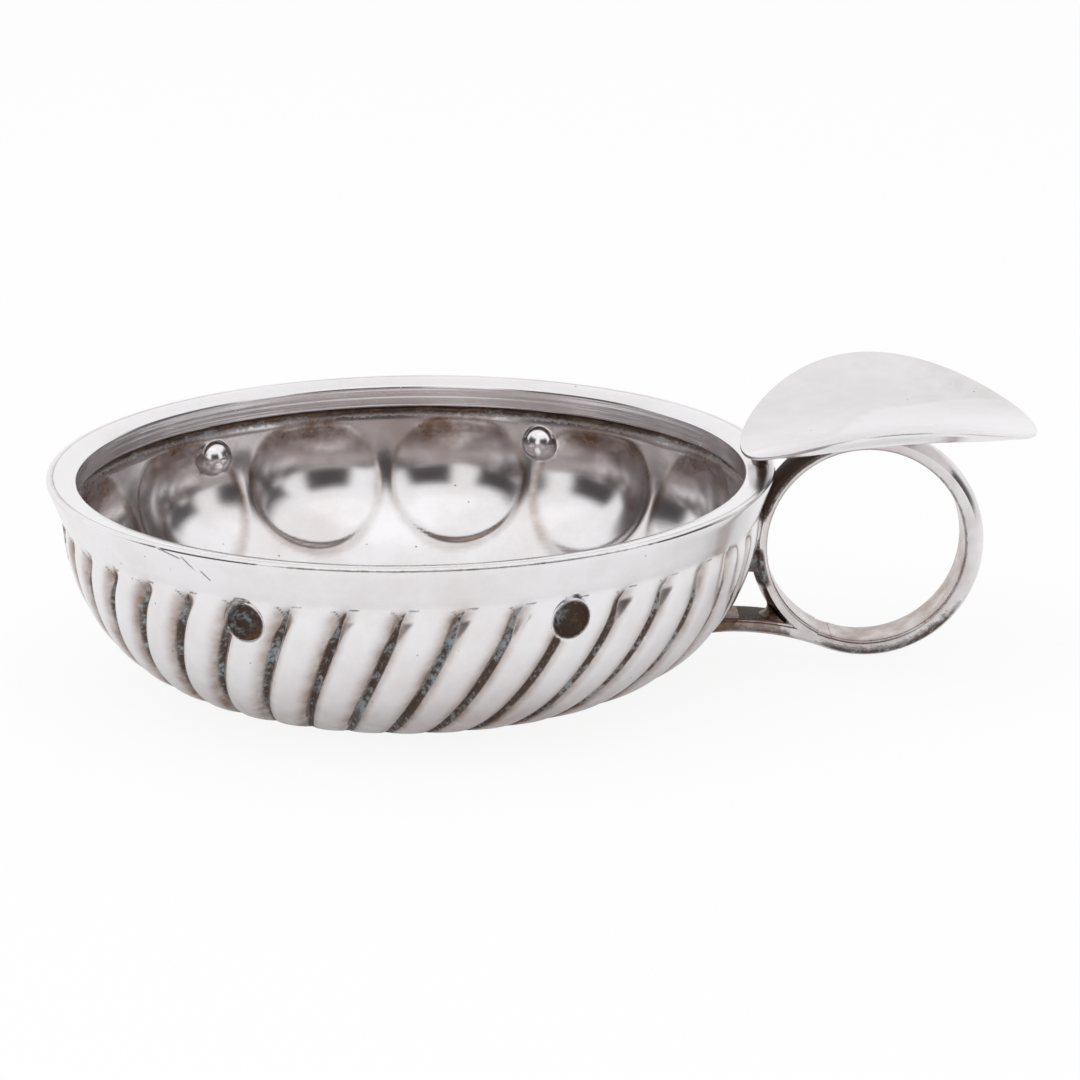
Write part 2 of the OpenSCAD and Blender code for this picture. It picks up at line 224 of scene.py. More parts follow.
def new_mesh(name, points, faces):
    """A mesh from points in millimetres and arrays of faces, turned outwards by the sign of its volume."""
    points = np.asarray(points, float)
    corners = [part[:, (0, i, i + 1)] for part in faces for i in range(1, part.shape[1] - 1)]
    a, b, c = np.concatenate(corners).T
    if np.einsum("ij,ij->", points[a], np.cross(points[b], points[c])) < 0:
        faces = [part[:, ::-1] for part in faces]
    totals = np.concatenate([np.full(len(part), part.shape[1]) for part in faces])
    loops = np.concatenate([part.ravel() for part in faces])
    mesh = bpy.data.meshes.new(name)
    mesh.vertices.add(len(points))
    mesh.vertices.foreach_set("co", (points * MM).ravel())
    mesh.loops.add(len(loops))
    mesh.loops.foreach_set("vertex_index", loops)
    mesh.polygons.add(len(totals))
    mesh.polygons.foreach_set("loop_start", np.cumsum(totals) - totals)
    mesh.update(calc_edges=True)
    if mesh.validate():
        raise RuntimeError(f"{name} has broken faces")
    return mesh


def smooth_shading(mesh, degrees):
    """Smooth shading, with edges sharper than the angle left as folds."""
    count = len(mesh.polygons)
    normals, totals, edge_of = np.empty(count * 3), np.empty(count, int), np.empty(len(mesh.loops), int)
    mesh.polygons.foreach_set("use_smooth", np.ones(count, bool))
    mesh.polygons.foreach_get("normal", normals)
    mesh.polygons.foreach_get("loop_total", totals)
    mesh.loops.foreach_get("edge_index", edge_of)
    normals = normals.reshape(-1, 3)
    face_of = np.repeat(np.arange(count), totals)
    order = np.argsort(edge_of, kind="stable")
    edges, faces = edge_of[order], face_of[order]
    pair = np.flatnonzero(edges[1:] == edges[:-1])
    turn = np.einsum("ij,ij->i", normals[faces[pair]], normals[faces[pair + 1]])
    sharp = np.zeros(len(mesh.edges), bool)
    sharp[edges[pair[turn < np.cos(np.radians(degrees))]]] = True
    layer = mesh.attributes.get("sharp_edge") or mesh.attributes.new("sharp_edge", "BOOLEAN", "EDGE")
    layer.data.foreach_set("value", sharp)


def grid_faces(rows, columns):
    """Quads of an open grid, row after row."""
    at = np.arange(rows * columns).reshape(rows, columns)
    return np.stack([at[:-1, :-1], at[:-1, 1:], at[1:, 1:], at[1:, :-1]], -1).reshape(-1, 4)


def loop_faces(rows, columns):
    """Quads of a grid whose columns close on themselves, row after row."""
    at = np.arange(rows * columns).reshape(rows, columns)
    ahead = np.roll(at, -1, 1)
    return np.stack([at[:-1], ahead[:-1], ahead[1:], at[1:]], -1).reshape(-1, 4)


def fan(centre, ring, flip):
    """Triangles from one point to a closed ring of points."""
    ahead = np.roll(ring, -1)
    pair = (ahead, ring) if flip else (ring, ahead)
    return np.stack([np.full(len(ring), centre), *pair], -1)


def turned_skin(points):
    """Closes a grid of rows by columns by 3, whose first and last rows shrink to a pole, with two fans."""
    rows, columns = points.shape[:2]
    flat = points[1:-1].reshape(-1, 3)
    low, high = len(flat), len(flat) + 1
    flat = np.vstack([flat, points[0].mean(0), points[-1].mean(0)])
    ring = np.arange(columns)
    caps = np.vstack([fan(low, ring, True), fan(high, ring + (rows - 3) * columns, False)])
    return flat, [loop_faces(rows - 2, columns), caps]


def capped(points):
    """Closes a tube of rows by columns by 3 with a cap at each end, drawn to the middle of the end row."""
    first, last = (np.repeat(row.mean(0)[None, None], points.shape[1], 1) for row in (points[0], points[-1]))
    return turned_skin(np.concatenate([first, points, last]))


def ring_skin(points):
    """Closes a grid of rows by columns by 3 whose last row meets its first."""
    rows, columns = points.shape[:2]
    return points.reshape(-1, 3), [loop_faces(rows + 1, columns) % (rows * columns)]


def turned(r, z, columns):
    """Rows at r and z, each one value or a value for each column, carried once round the Z axis."""
    a = np.linspace(0, 2 * np.pi, columns, endpoint=False)
    r, z = (np.broadcast_to(v.reshape(len(v), -1), (len(v), columns)) for v in (r, z))
    return np.stack([r * np.cos(a), r * np.sin(a), z], -1)


def rounded(corners, radii, steps=5):
    """A closed outline with its corners rounded: an arc between two tangent points at each corner."""
    corners = np.asarray(corners, float)
    t = np.linspace(0, 1, steps)[:, None]
    out = []
    for i, radius in enumerate(radii):
        p, before, after = corners[i], corners[i - 1], corners[(i + 1) % len(corners)]
        d1, d2 = ((q - p) / np.linalg.norm(q - p) for q in (before, after))
        half = np.arccos(np.clip(d1 @ d2, -1, 1)) / 2
        reach, swing = radius / np.tan(half), np.pi - 2 * half
        middle = p + (d1 + d2) / np.linalg.norm(d1 + d2) * radius / np.sin(half)
        a, b = p + d1 * reach - middle, p + d2 * reach - middle
        out.append(middle + (np.sin((1 - t) * swing) * a + np.sin(t * swing) * b) / np.sin(swing))
    return np.vstack(out)


def place(context, name, mesh, node, material, fold=50):
    """Shades a finished mesh and puts it into the scene as the piece that stands for a node."""
    mesh.name = name
    smooth_shading(mesh, fold)
    piece = bpy.data.objects.new(name, mesh)
    context.scene.collection.objects.link(piece)
    piece.data.materials.clear()
    piece.data.materials.append(material)
    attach(piece, "root")
    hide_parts(node)


def carve(context, mesh, *steps):
    """Joins or cuts a closed mesh with others, in order, and returns the result."""
    work = bpy.data.objects.new("work", mesh)
    context.scene.collection.objects.link(work)
    tools = []
    for i, (operation, tool_mesh) in enumerate(steps):
        tool = bpy.data.objects.new(f"tool{i}", tool_mesh)
        context.scene.collection.objects.link(tool)
        modifier = work.modifiers.new(f"step{i}", "BOOLEAN")
        modifier.operation, modifier.solver, modifier.object = operation, "MANIFOLD", tool
        tools.append(tool)
    context.view_layer.update()
    done = bpy.data.meshes.new_from_object(work.evaluated_get(context.evaluated_depsgraph_get()))
    for item in [work, *tools]:
        data = item.data
        bpy.data.objects.remove(item)
        bpy.data.meshes.remove(data)
    if not len(done.polygons):
        raise RuntimeError("a joint of the taster came out empty")
    return done


def cut(context, mesh, *tools):
    """Cuts closed meshes out of another, in order, and returns the result."""
    return carve(context, mesh, *(("DIFFERENCE", tool) for tool in tools))


def mesh_points(mesh, what="co"):
    """Places or normals of a mesh's vertices, as they are kept."""
    flat = np.empty(len(mesh.vertices) * 3)
    mesh.vertices.foreach_get(what, flat)
    return flat.reshape(-1, 3)


def set_masks(mesh, **masks):
    """Stores one number per vertex for each mask, for the materials."""
    for name, values in masks.items():
        layer = mesh.attributes.new(name, "FLOAT", "POINT")
        layer.data.foreach_set("value", np.ascontiguousarray(values, dtype=np.float32))


def wall(s, fall, off):
    """r, z and normal of the wall at a fall.

    A quarter ellipse from shoulder to base, moved outwards along its normal by off.
    """
    a, b = s.rim_d / 2 - s.flare - s.base_d / 2, s.bowl_h - s.band_h
    across, down = np.cos(np.radians(fall)), np.sin(np.radians(fall))
    n = np.stack([across / a, -down / b])
    n = n / np.linalg.norm(n, axis=0)
    return s.base_d / 2 + a * across + off * n[0], b * (1 - down) + off * n[1], n


def wall_r(s, z):
    """Radius of the wall at a height, on the same quarter ellipse."""
    down = 1 - z / (s.bowl_h - s.band_h)
    return s.base_d / 2 + (s.rim_d / 2 - s.flare - s.base_d / 2) * np.sqrt(np.clip(1 - down**2, 0, 1))


def band_r(s, z):
    """Radius of the band's outside at a height: a straight flare from shoulder to rim."""
    return s.rim_d / 2 - s.flare * (s.bowl_h - z) / s.band_h


def fall_of(s, drop):
    """Fall in degrees of a point that lies a drop below the shoulder."""
    return np.degrees(np.arcsin(drop / (s.bowl_h - s.band_h)))


def twist(u, fall):
    """Degrees by which column u leans back at a fall: more further down, less at the gadroons' ends."""
    settle = smooth(0, TWIST_RUN, u - GADROON_START) * smooth(0, TWIST_RUN, GADROON_END - u)
    return TWIST * fall / 90 * settle


def gadroon_pitch(s):
    """Degrees from one gadroon to the next."""
    return (GADROON_END - GADROON_START) / s.gadroon_count


def cupule_pitch(s):
    """Degrees from one cupule to the next."""
    return (GADROON_START - CUPULE_START) / s.cupule_count


def gadroon_relief(s, u, fall):
    """Crowned lobes, and rounded valleys that open to a triangle at the top and die out above the base."""
    phase = (u - GADROON_START) / gadroon_pitch(s)
    across = np.abs(2 * (phase - np.floor(phase)) - 1)
    ends = smooth(0, 0.7, phase) * smooth(0, 0.7, s.gadroon_count - phase)
    along = between(-1.5, GROOVE_RUN, *GROOVE_END, fall)
    start = 0.34 + 0.34 * smooth(0, 13, fall)
    valley = smooth(0, 1, (across - start) / (1 - start))
    head = 0.13 * between(-1.5, 0.5, 1.0, 7.0, fall) * (1 - 0.5 * across)
    return -s.groove_depth * ((0.6 * across**2.4 + 0.4 * valley) * along + head) * ends


def cupule_share(s, u, fall):
    """How far a point lies from its cupule's centre, 1 at the edge, and how far it lies below that centre."""
    pitch = cupule_pitch(s)
    phase = (u - 360 - CUPULE_START) / pitch
    r0, z0, _ = wall(s, fall_of(s, s.cupule_drop), 0)
    r, z, _ = wall(s, fall, 0)
    across = (phase - np.floor(phase) - 0.5) * np.radians(pitch) * r0
    along = 2 * np.hypot(r - r0, z - z0) / s.cupule_l
    return np.hypot(2 * across / s.cupule_w, along), np.where(z < z0, along, 0.0)


def cupule_relief(s, u, fall):
    """Round dishes: a paraboloid with an eased edge, and lower down a cone that ends in a short step."""
    q, low = cupule_share(s, u, fall)
    dish = eased(1 - (1.03 * q) ** 2, 0.09) * (1 - smooth(1.0, 1.22, q))
    cone = 0.84 * eased(1 - q / 1.05, 0.05) * (1 - smooth(1.0, 1.25, q)) + 0.16 * (1 - smooth(0.86, 1.03, q))
    depth = 0.84 * s.cupule_rise * smooth(0, GROOVE_RUN, fall)
    return depth * (dish + smooth(0.0, 0.75, low) * (cone - dish))


def relief(s, u, fall):
    """Relief of the whole wall: gadroons, then the plain patch at the handle, then cupules."""
    lobes = np.where(u < GADROON_END, gadroon_relief(s, u, fall), 0.0)
    return lobes + np.where(u >= 360 + CUPULE_START, cupule_relief(s, u, fall), 0.0)


def bunched(pieces, count):
    """Steps through a number of pieces, closer together at the ends of each piece."""
    even = np.arange(count) / count
    shares = even - 0.5 * np.sin(2 * np.pi * even) / (2 * np.pi)
    return (np.arange(pieces)[:, None] + shares).ravel()


def bowl_columns(s, lobe=22, patch=20, cupule=44):
    """Columns round the bowl, closer together at the grooves and at the edges of the cupules."""
    gadroons = GADROON_START + bunched(s.gadroon_count, lobe) * gadroon_pitch(s)
    patches = np.linspace(GADROON_END, 360 + CUPULE_START, patch, endpoint=False)
    cupules = 360 + CUPULE_START + bunched(s.cupule_count, cupule) * cupule_pitch(s)
    return np.concatenate([gadroons, patches, cupules])


def bowl_skin(s):
    """The whole sheet as one skin: dome, base, wall, band and lip outside, then back down inside."""
    u, h, t, ease = bowl_columns(s), s.bowl_h, s.sheet_t, s.lip_ease
    ball = (s.umbo_d**2 / 4 + s.umbo_h**2) / (2 * s.umbo_h)
    centre = s.umbo_h - ball
    dome_r = np.sqrt((ball + t) ** 2 - (t - centre) ** 2)
    falls = np.r_[np.linspace(0, 14, 19), np.linspace(14, 90, 29)[1:]]
    inner_falls = np.r_[np.linspace(0, 14, 9), np.linspace(14, 90, 43)[1:]]
    band_drops, inner_drops = np.array([4.4, 3.6, 2.4, 1.2, ease]), np.array([0.0, 2.0, 4.0])

    def plain(r, z):
        return np.stack([np.broadcast_to(r, u.shape), np.broadcast_to(z, u.shape), u], -1)

    def dome(r, radius):
        return plain(r, centre + np.sqrt(radius**2 - r**2))

    def chased(fall, off):
        r, z, n = wall(s, fall, off)
        d = relief(s, u, fall)
        return np.stack([r + d * n[0], z + d * n[1], u - twist(u, fall)], -1)

    def lip(a):
        return plain(band_r(s, h - ease) - 0.8 * ease * (1 - np.cos(a)), h - ease * (1 - np.sin(a)))

    rows = [dome(r, ball) for r in np.linspace(0, s.umbo_d / 2, 9)]
    rows += [plain(r, 0.0) for r in (s.umbo_d / 2 + 1, s.base_d / 2 - 2)]
    rows += [chased(fall, 0.0) for fall in falls[::-1]]
    rows += [plain(band_r(s, z), z) for z in h - band_drops]
    rows += [lip(a) for a in np.radians([25, 50, 75, 90])]
    rows += [plain(band_r(s, z) - t, z) for z in h - inner_drops]
    rows += [chased(fall, -t) for fall in inner_falls]
    rows += [plain(r, t) for r in (s.base_d / 2 - 2, dome_r + 1)]
    rows += [dome(r, ball + t) for r in np.linspace(dome_r, 0, 9)]
    r, z, direction = np.moveaxis(np.stack(rows), -1, 0)
    a = np.radians(direction)
    return turned_skin(np.stack([r * np.cos(a), r * np.sin(a), z], -1))


def bead_place(s):
    """r, z and normal at the middle of a bead."""
    return wall(s, fall_of(s, s.bead_drop), -s.bead_sink)


def balls(s, diameter, keep_inner, past=0.2):
    """A ball at each bead's place, or its inner half and a little past it: rings about the wall's normal."""
    r, z, n = bead_place(s)
    polar = np.linspace(0, np.arccos(-past / (diameter / 2)) if keep_inner else np.pi, 19)
    depth, radius = -np.cos(polar), np.sin(polar)
    if keep_inner:
        depth, radius = np.append(depth, depth[-1]), np.append(radius, 0)
    turn = np.linspace(0, 2 * np.pi, 36, endpoint=False)[:, None]
    points, faces = [], []
    for x, y in unit(np.radians(BEAD_DIRS)):
        ahead, side = np.array([n[0] * x, n[0] * y, n[1]]), np.array([-y, x, 0])
        spokes = np.cos(turn) * side + np.sin(turn) * np.cross(ahead, side)
        grid = depth[:, None, None] * ahead + radius[:, None, None] * spokes
        flat, skin = turned_skin(np.array([r * x, r * y, z]) + diameter / 2 * grid)
        faces += [part + len(points) * len(flat) for part in skin]
        points.append(flat)
    return np.vstack(points), faces


def lobe_masks(fall, share):
    """Dark patina and brown film on the lobes, by fall and by share of the way from one groove to the next.

    The patina is soft on the lobe before the groove, crisp on the one after it, and thin where the groove
    opens at the top. A hook and a dash of painted shade mark each lobe's head, and the film beside the
    grooves is partly tarnish and partly painted shade where each lobe curves away.
    """
    ahead, behind = 2 * share - 1, 1 - 2 * share
    runs = 1 - smooth(66, 84, fall)
    narrow = 0.12 * (1 - smooth(4, 14, fall))
    core = np.maximum(smooth(0.66 + narrow, 0.9 + narrow, ahead), smooth(0.8 + narrow, 0.9 + narrow, behind))
    core = core * smooth(0.5, 3.5, fall) * runs
    # Painted shade at each lobe's head: an arched hook and a short dash
    hook = hill(fall, 1.0 + 7.5 * np.clip(ahead, 0, 1) ** 5, 0.75) * smooth(0.3, 0.6, ahead)
    dash = hill(fall, 0.9, 0.5) * (share > 0.03) * (share < 0.2)
    # Brown film beside the grooves, partly tarnish and partly painted shade where each lobe curves away
    film_and_shade = 0.92 * smooth(0.1, 0.93, ahead) ** 1.4 + 0.7 * smooth(0.5, 0.95, behind)
    return np.maximum.reduce([core, 0.62 * hook, 0.6 * dash]), film_and_shade * smooth(-0.5, 4, fall) * runs


def inside_tarnish(s, u, direction, fall, below):
    """Tarnish inside, thick at the top of the cupules and all over the lobes, and painted shade in a line
    round each cupule.
    """
    dish = np.where(u < 180, u + 360, u)
    q, _ = cupule_share(s, dish, fall)
    cup = (dish >= 360 + CUPULE_START) & below
    top, upper = 1 - smooth(3, 19, fall), 1 - smooth(16, 40, fall)
    plain = (0.1 + 0.2 * top) * upper
    # Painted shade round the edge of each cupule, strongest towards the sides of the bowl and near the top
    strength = 0.22 + 0.22 * smooth(0, 35, np.abs(direction - 90)) + 0.4 * upper
    line = between(0.84, 0.97, 0.97, 1.08, q) * strength
    tarnish = np.where(cup, np.maximum(plain + 0.6 * top * (1 - smooth(0.94, 1.02, q)), line), plain)
    lobes = smooth(-6, 10, u - GADROON_START) * smooth(-10, 6, GADROON_END - u)
    return tarnish + lobes * (0.5 * (1 - smooth(40, 75, fall)) - tarnish)


def bowl_masks(s, mesh):
    """Masks of the bowl by place: lobes, inside and lip, then dimples and beads, which cover the others."""
    p = mesh_points(mesh) / MM
    z, h, shoulder_z = p[:, 2], s.bowl_h, s.bowl_h - s.band_h
    r = np.hypot(p[:, 0], p[:, 1])
    direction = np.degrees(heading(p.T)) % 360
    # The dome in the base counts as base, whatever its height
    fall = np.where(r < s.base_d / 2 - 1, 90.0, fall_of(s, np.clip(shoulder_z - z, 0, shoulder_z)))
    normals = mesh_points(mesh, "normal")
    n = wall(s, fall, 0)[2]
    outside = (normals[:, :2] * p[:, :2]).sum(1) / np.maximum(r, 1) * n[0] + normals[:, 2] * n[1] > 0
    # The lean is taken out by feeding it back until it settles
    u = direction
    for _ in range(4):
        u = direction + twist(u, fall)
    below = z < shoulder_z + 0.6
    phase = (u - GADROON_START) / gadroon_pitch(s)
    lobed = (u > GADROON_START) & (u < GADROON_END) & below
    crust_and_shade, film_and_shade = lobe_masks(fall, phase - np.floor(phase))
    under_rim = smooth(shoulder_z + 0.25, shoulder_z + 0.75, z) * (z < h - 3)
    # Painted shade: the outside browns towards the base, standing in for the reflected shadow on the floor
    foot_shade = 0.6 * smooth(30, 78, fall)
    film_and_shade = np.where(lobed, np.clip(film_and_shade + foot_shade, 0, 0.95), foot_shade)
    tarnish = np.where(outside, film_and_shade, inside_tarnish(s, u, direction, fall, below))
    # Painted reflection: a dark line along the outer edge of the lip, only on the side that faces the camera
    edge = 0.75 * hill(z, h - 0.22, 0.12) * outside * between(238, 256, 296, 318, direction)
    soot = np.maximum(np.where(outside, np.where(lobed, crust_and_shade, 0.0), 0.8 * under_rim), edge)
    bead_r, bead_z, _ = bead_place(s)
    for x, y in unit(np.radians(BEAD_DIRS)):
        from_bead = p - np.array([bead_r * x, bead_r * y, bead_z])
        away = np.linalg.norm(from_bead, axis=1)
        bore = away < s.dimple_d / 2 + 0.06
        dome = ~bore & (away < s.bead_d / 2 + 0.06) & (r < bead_r)
        # Painted shading across each dimple: the tarnish rises towards one side, where the crust's flecks
        # turn golden instead of grey
        lit = from_bead @ np.array([-0.8 * y, 0.8 * x, -0.6]) / (s.dimple_d / 2)
        soot = np.where(bore, 1.0, np.where(dome, 0.0, soot))
        tarnish = np.where(bore, 0.94 + 0.06 * smooth(-0.5, 0.6, lit), np.where(dome, 0.0, tarnish))
    set_masks(mesh, soot=soot, tarnish=tarnish)


def wire_seat(s, z):
    """Radius of the wire's and the seam's back at a height: the band's inside, less the joint."""
    return band_r(s, z) - s.sheet_t - s.joint


def wire_mesh(s):
    """The rim wire: a section with rounded corners and file marks down its inner face, carried once round."""
    h, inner = s.bowl_h, s.rim_d / 2 - s.rim_w
    edge, foot = h - s.rim_fall, h - s.rim_wire_h
    corners = [(wire_seat(s, h), h), (inner, edge), (inner, foot), (wire_seat(s, foot), foot)]
    corner_r = (0.015, 0.4, 0.35, 0.1)
    profile = rounded(corners, corner_r)
    z = np.linspace(edge - 0.5, foot + 0.45, 40)
    waves = ((0.008, 0.52, 0.4), (0.014, 0.97, 2), (0.003, 0.31, 0))
    marks = sum(depth * np.sin(2 * np.pi * z / pitch + start) for depth, pitch, start in waves)
    face = np.stack([inner + (0.03 + marks) * np.sin(np.pi * np.linspace(0, 1, 40)) ** 0.5, z], -1)
    mesh = new_mesh("rim_wire", *ring_skin(turned(*np.vstack([profile[:10], face, profile[10:]]).T, 480)))
    x, y, z = mesh_points(mesh).T / MM
    low = smooth(edge - 0.6, foot, z) * (np.hypot(x, y) < inner + 0.3)
    # Painted shade on the rim under the thumb rest, at the near side of its pad
    pad_shade = hill(x, PAD_SHADE[0], 1.3) * hill(y, PAD_SHADE[1], 1.8)
    set_masks(mesh, soot=0.45 * pad_shade, tarnish=np.maximum(0.26 * low, 0.9 * pad_shade))
    return mesh


def seam_mesh(s, columns=900):
    """The solder under the wire: a hollow fillet whose ragged lower edge is a sum of waves round the bowl."""
    head = s.bowl_h - s.rim_wire_h - s.joint
    a = np.linspace(0, 2 * np.pi, columns, endpoint=False)
    waves = ((0.16, 7, 1), (0.2, 17, 2.1), (0.16, 41, 0.4), (0.12, 83, 4))
    wobble = sum(height * np.sin(count * a + start) for height, count, start in waves)
    reach = s.seam_h * (0.8 + 0.4 * wobble)
    share = np.linspace(0, 1, 9)[:, None]
    z = head - reach * share
    sag = 0.35 * np.sin(np.pi * share) * (1 + 0.5 * np.sin(29 * a + 1.3))
    r = (s.rim_d / 2 - s.rim_w + 0.25) * (1 - share) + wire_seat(s, head - reach) * share + sag
    face, back = turned(r, z, columns), turned(wire_seat(s, z), z, columns)[::-1]
    return new_mesh("rim_seam", *ring_skin(np.concatenate([face, back[1:]])))


def handle(s):
    """Centres and radii of the hole, the ring and its spur as x, z, worked out as the solids have them.

    The spur's arc meets the ring without a kink, and spur_end is its direction inside the wall, in degrees.
    """
    ring_r = s.hole_d / 2 + s.strap_t
    ring_z = s.ring_lift + ring_r
    swell = s.strap_swell * unit(np.radians(SWELL_DIR))
    hole = np.array([wall_r(s, ring_z) + s.solder_t + s.strap_back_t + s.hole_d / 2, ring_z - swell[1]])
    outer = hole + swell
    spur_x, rise = s.rim_d / 2 - s.flare - s.spur_in, ring_z - s.spur_z
    spur_r = ((outer[0] - spur_x) ** 2 + rise**2 - ring_r**2) / (2 * (ring_r - rise))
    spur = np.array([spur_x, s.spur_z - spur_r])
    spur_end = 90 + np.degrees(np.arcsin(2 * s.spur_in / spur_r))
    return SimpleNamespace(hole=hole, outer=outer, ring_r=ring_r, spur=spur, spur_r=spur_r, spur_end=spur_end)


def strap_outline(width, crown, thickness, corner=0.42):
    """Section of the strap as y, and as depth below the crown's top.

    It has a crowned outside, a flat inside and round corners.
    """
    half = width / 2
    crown_r = (half**2 + crown**2) / (2 * crown)
    y = half * np.sin(np.linspace(-np.pi / 2, np.pi / 2, 19))
    outside = np.stack([y, crown_r - np.sqrt(crown_r**2 - y**2)], -1)
    right = np.array([half - corner, -corner]) + corner * unit(np.linspace(0, np.pi / 2, 5))
    flat = np.linspace(half - corner, corner - half, 9)[1:-1]
    outline = np.vstack([outside, right, np.stack([flat, 0 * flat], -1), right[::-1] * [-1, 1]])
    inner = np.arange(len(outline)) >= len(outside)
    depth = outline[:, 1] + inner * thickness[:, None]
    return np.broadcast_to(outline[:, 0], depth.shape), depth


def swept(path, normals, thickness, width, crown):
    """The strap's section carried along a path in the XZ plane, with a cap at each end."""
    y, depth = strap_outline(width, crown, thickness)
    xz = path[:, None] - normals[:, None] * depth[..., None]
    return capped(np.stack([xz[..., 0], y, xz[..., 1]], -1))


def ring_mesh(s, off=0.0):
    """The rolled ring, grown by off. Circle and hole are eccentric, so the strap swells to the outside."""
    at = handle(s)
    start = np.degrees(heading(at.spur - at.outer))
    n = unit(np.radians(np.linspace(start, start + 360 - TAIL_GAP, 240)))
    d = at.hole - at.outer
    along = n @ d
    inner = along + np.sqrt(s.hole_d**2 / 4 - d @ d + along**2)
    radius, width = at.ring_r + off, s.strap_w + 2 * off
    return new_mesh("ring", *swept(at.outer + radius * n, n, radius - inner, width, s.strap_crown))


def spur_mesh(s, off=0.0):
    """The spur, grown by off: an arc that leaves the ring without a kink and runs to the wall of the bowl."""
    at = handle(s)
    first = np.degrees(heading(at.outer - at.spur))
    n = unit(np.radians(np.linspace(at.spur_end, first - 1, 60)))
    thickness = np.full(len(n), s.strap_t + 2 * off)
    path = at.spur + (at.spur_r - off) * n
    return new_mesh("spur", *swept(path, -n, thickness, s.strap_w + 2 * off, s.strap_crown))


def spur_cover(s, rise, run, reach=3.2):
    """The spur's end grown along its section's normals: by rise at the wall, and less away from it."""
    at = handle(s)
    n = unit(np.radians(np.linspace(at.spur_end, 90 - np.degrees(reach / at.spur_r), 70)))
    y, depth = strap_outline(s.strap_w, s.strap_crown, np.full(len(n), s.strap_t))
    across, down = (np.roll(v, -1, 1) - np.roll(v, 1, 1) for v in (y, depth))
    out = np.stack([-down, across]) / np.maximum(np.hypot(across, down), 1e-9)
    out = out * np.sign((out[0] * y + out[1] * (depth - s.strap_t / 2)).sum(1, keepdims=True))

    def on_arc(depth):
        return at.spur[:, None, None] + (at.spur_r + depth) * n.T[:, :, None]

    x, z = on_arc(depth)
    grow = rise * np.exp(-np.clip(np.hypot(x, y) - wall_r(s, z), 0, None) / run)
    x, z = on_arc(depth + grow * out[1])
    return new_mesh("spur_cover", *capped(np.stack([x, y + grow * out[0], z], -1)))


def seat_drop(s, long=0.8, wide=0.47, sunk=0.3, tall=0.75):
    """A flat drop of solder at the rest's seat on the ring: an ellipsoid, before it is cut to both."""
    hole = handle(s).hole
    polar, turn = np.linspace(0, np.pi, 31)[:, None], np.linspace(0, 2 * np.pi, 72, endpoint=False)
    x = hole[0] + long * s.saddle_l * np.sin(polar) * np.cos(turn)
    y = wide * s.strap_w * np.sin(polar) * np.sin(turn)
    z = hole[1] + s.hole_d / 2 + s.strap_seat_t - sunk - tall * np.cos(polar) + 0 * turn
    return new_mesh("seat_drop", *turned_skin(np.stack([x, y, z], -1)))


def meet(p, p_r, q, q_r):
    """Where two circles cross, on the left of the line from p to q seen along Y."""
    span = np.linalg.norm(q - p)
    ahead = (q - p) / span
    along = (p_r**2 - q_r**2 + span**2) / (2 * span)
    return p + along * ahead + np.sqrt(p_r**2 - along**2) * np.array([ahead[1], -ahead[0]])


def lap_web(s, deep=1.3, half=0.46, taper=0.3):
    """Solder in the crotch of ring and spur: a hollow arc that touches both, drawn in at both ends."""
    at = handle(s)
    hollow, top_r = s.crotch_r, at.spur_r + s.strap_t
    middle = meet(at.outer, at.ring_r + hollow, at.spur, top_r + hollow)
    crotch = meet(at.outer, at.ring_r, at.spur, top_r)
    root = crotch + deep * (crotch - middle) / np.linalg.norm(crotch - middle)
    arc = middle + hollow * unit(np.linspace(heading(at.outer - middle), heading(at.spur - middle), 20))
    share = np.linspace(0, 1, 8)[1:, None]
    outline = np.vstack([arc, arc[-1] + share * (root - arc[-1]), root + share[:-1] * (arc[0] - root)])
    across = np.sin(np.linspace(-np.pi / 2, np.pi / 2, 33))[:, None]
    xz = root + ((1 - across**2) ** taper)[..., None] * (outline - root)
    y = np.repeat(half * s.strap_w * across, len(outline), 1)
    return new_mesh("lap_web", *turned_skin(np.stack([xz[..., 0], y, xz[..., 1]], -1)))


def wall_web(s, below=3.7, under_band=0.9, into_strap=0.5, behind=4, bend=(1.2, 1.6)):
    """Solder between strap and wall, before it is cut to both: a block with a hollow lower edge."""
    hole = handle(s).hole
    low, high = hole[1] - below, s.bowl_h - s.band_h - under_band
    z = np.linspace(low, high, 30)
    right = np.stack([hole[0] - np.sqrt((s.hole_d / 2 + into_strap) ** 2 - (z - hole[1]) ** 2), z], -1)
    near = right[:, 0].min()
    deep, turn = np.array([near - behind, low]), np.array([near - bend[0], low + bend[1]])
    t = np.linspace(0, 1, 14)[1:-1, None]
    bottom = deep * (1 - t) ** 2 + 2 * t * (1 - t) * turn + t**2 * right[0]
    x, z = np.vstack([right, [(near - behind, high)], deep, bottom]).T
    half = (s.strap_w - s.strap_crown) / 2
    return new_mesh("wall_web", *capped(np.stack([np.stack([x, 0 * x + y, z], -1) for y in (-half, half)])))


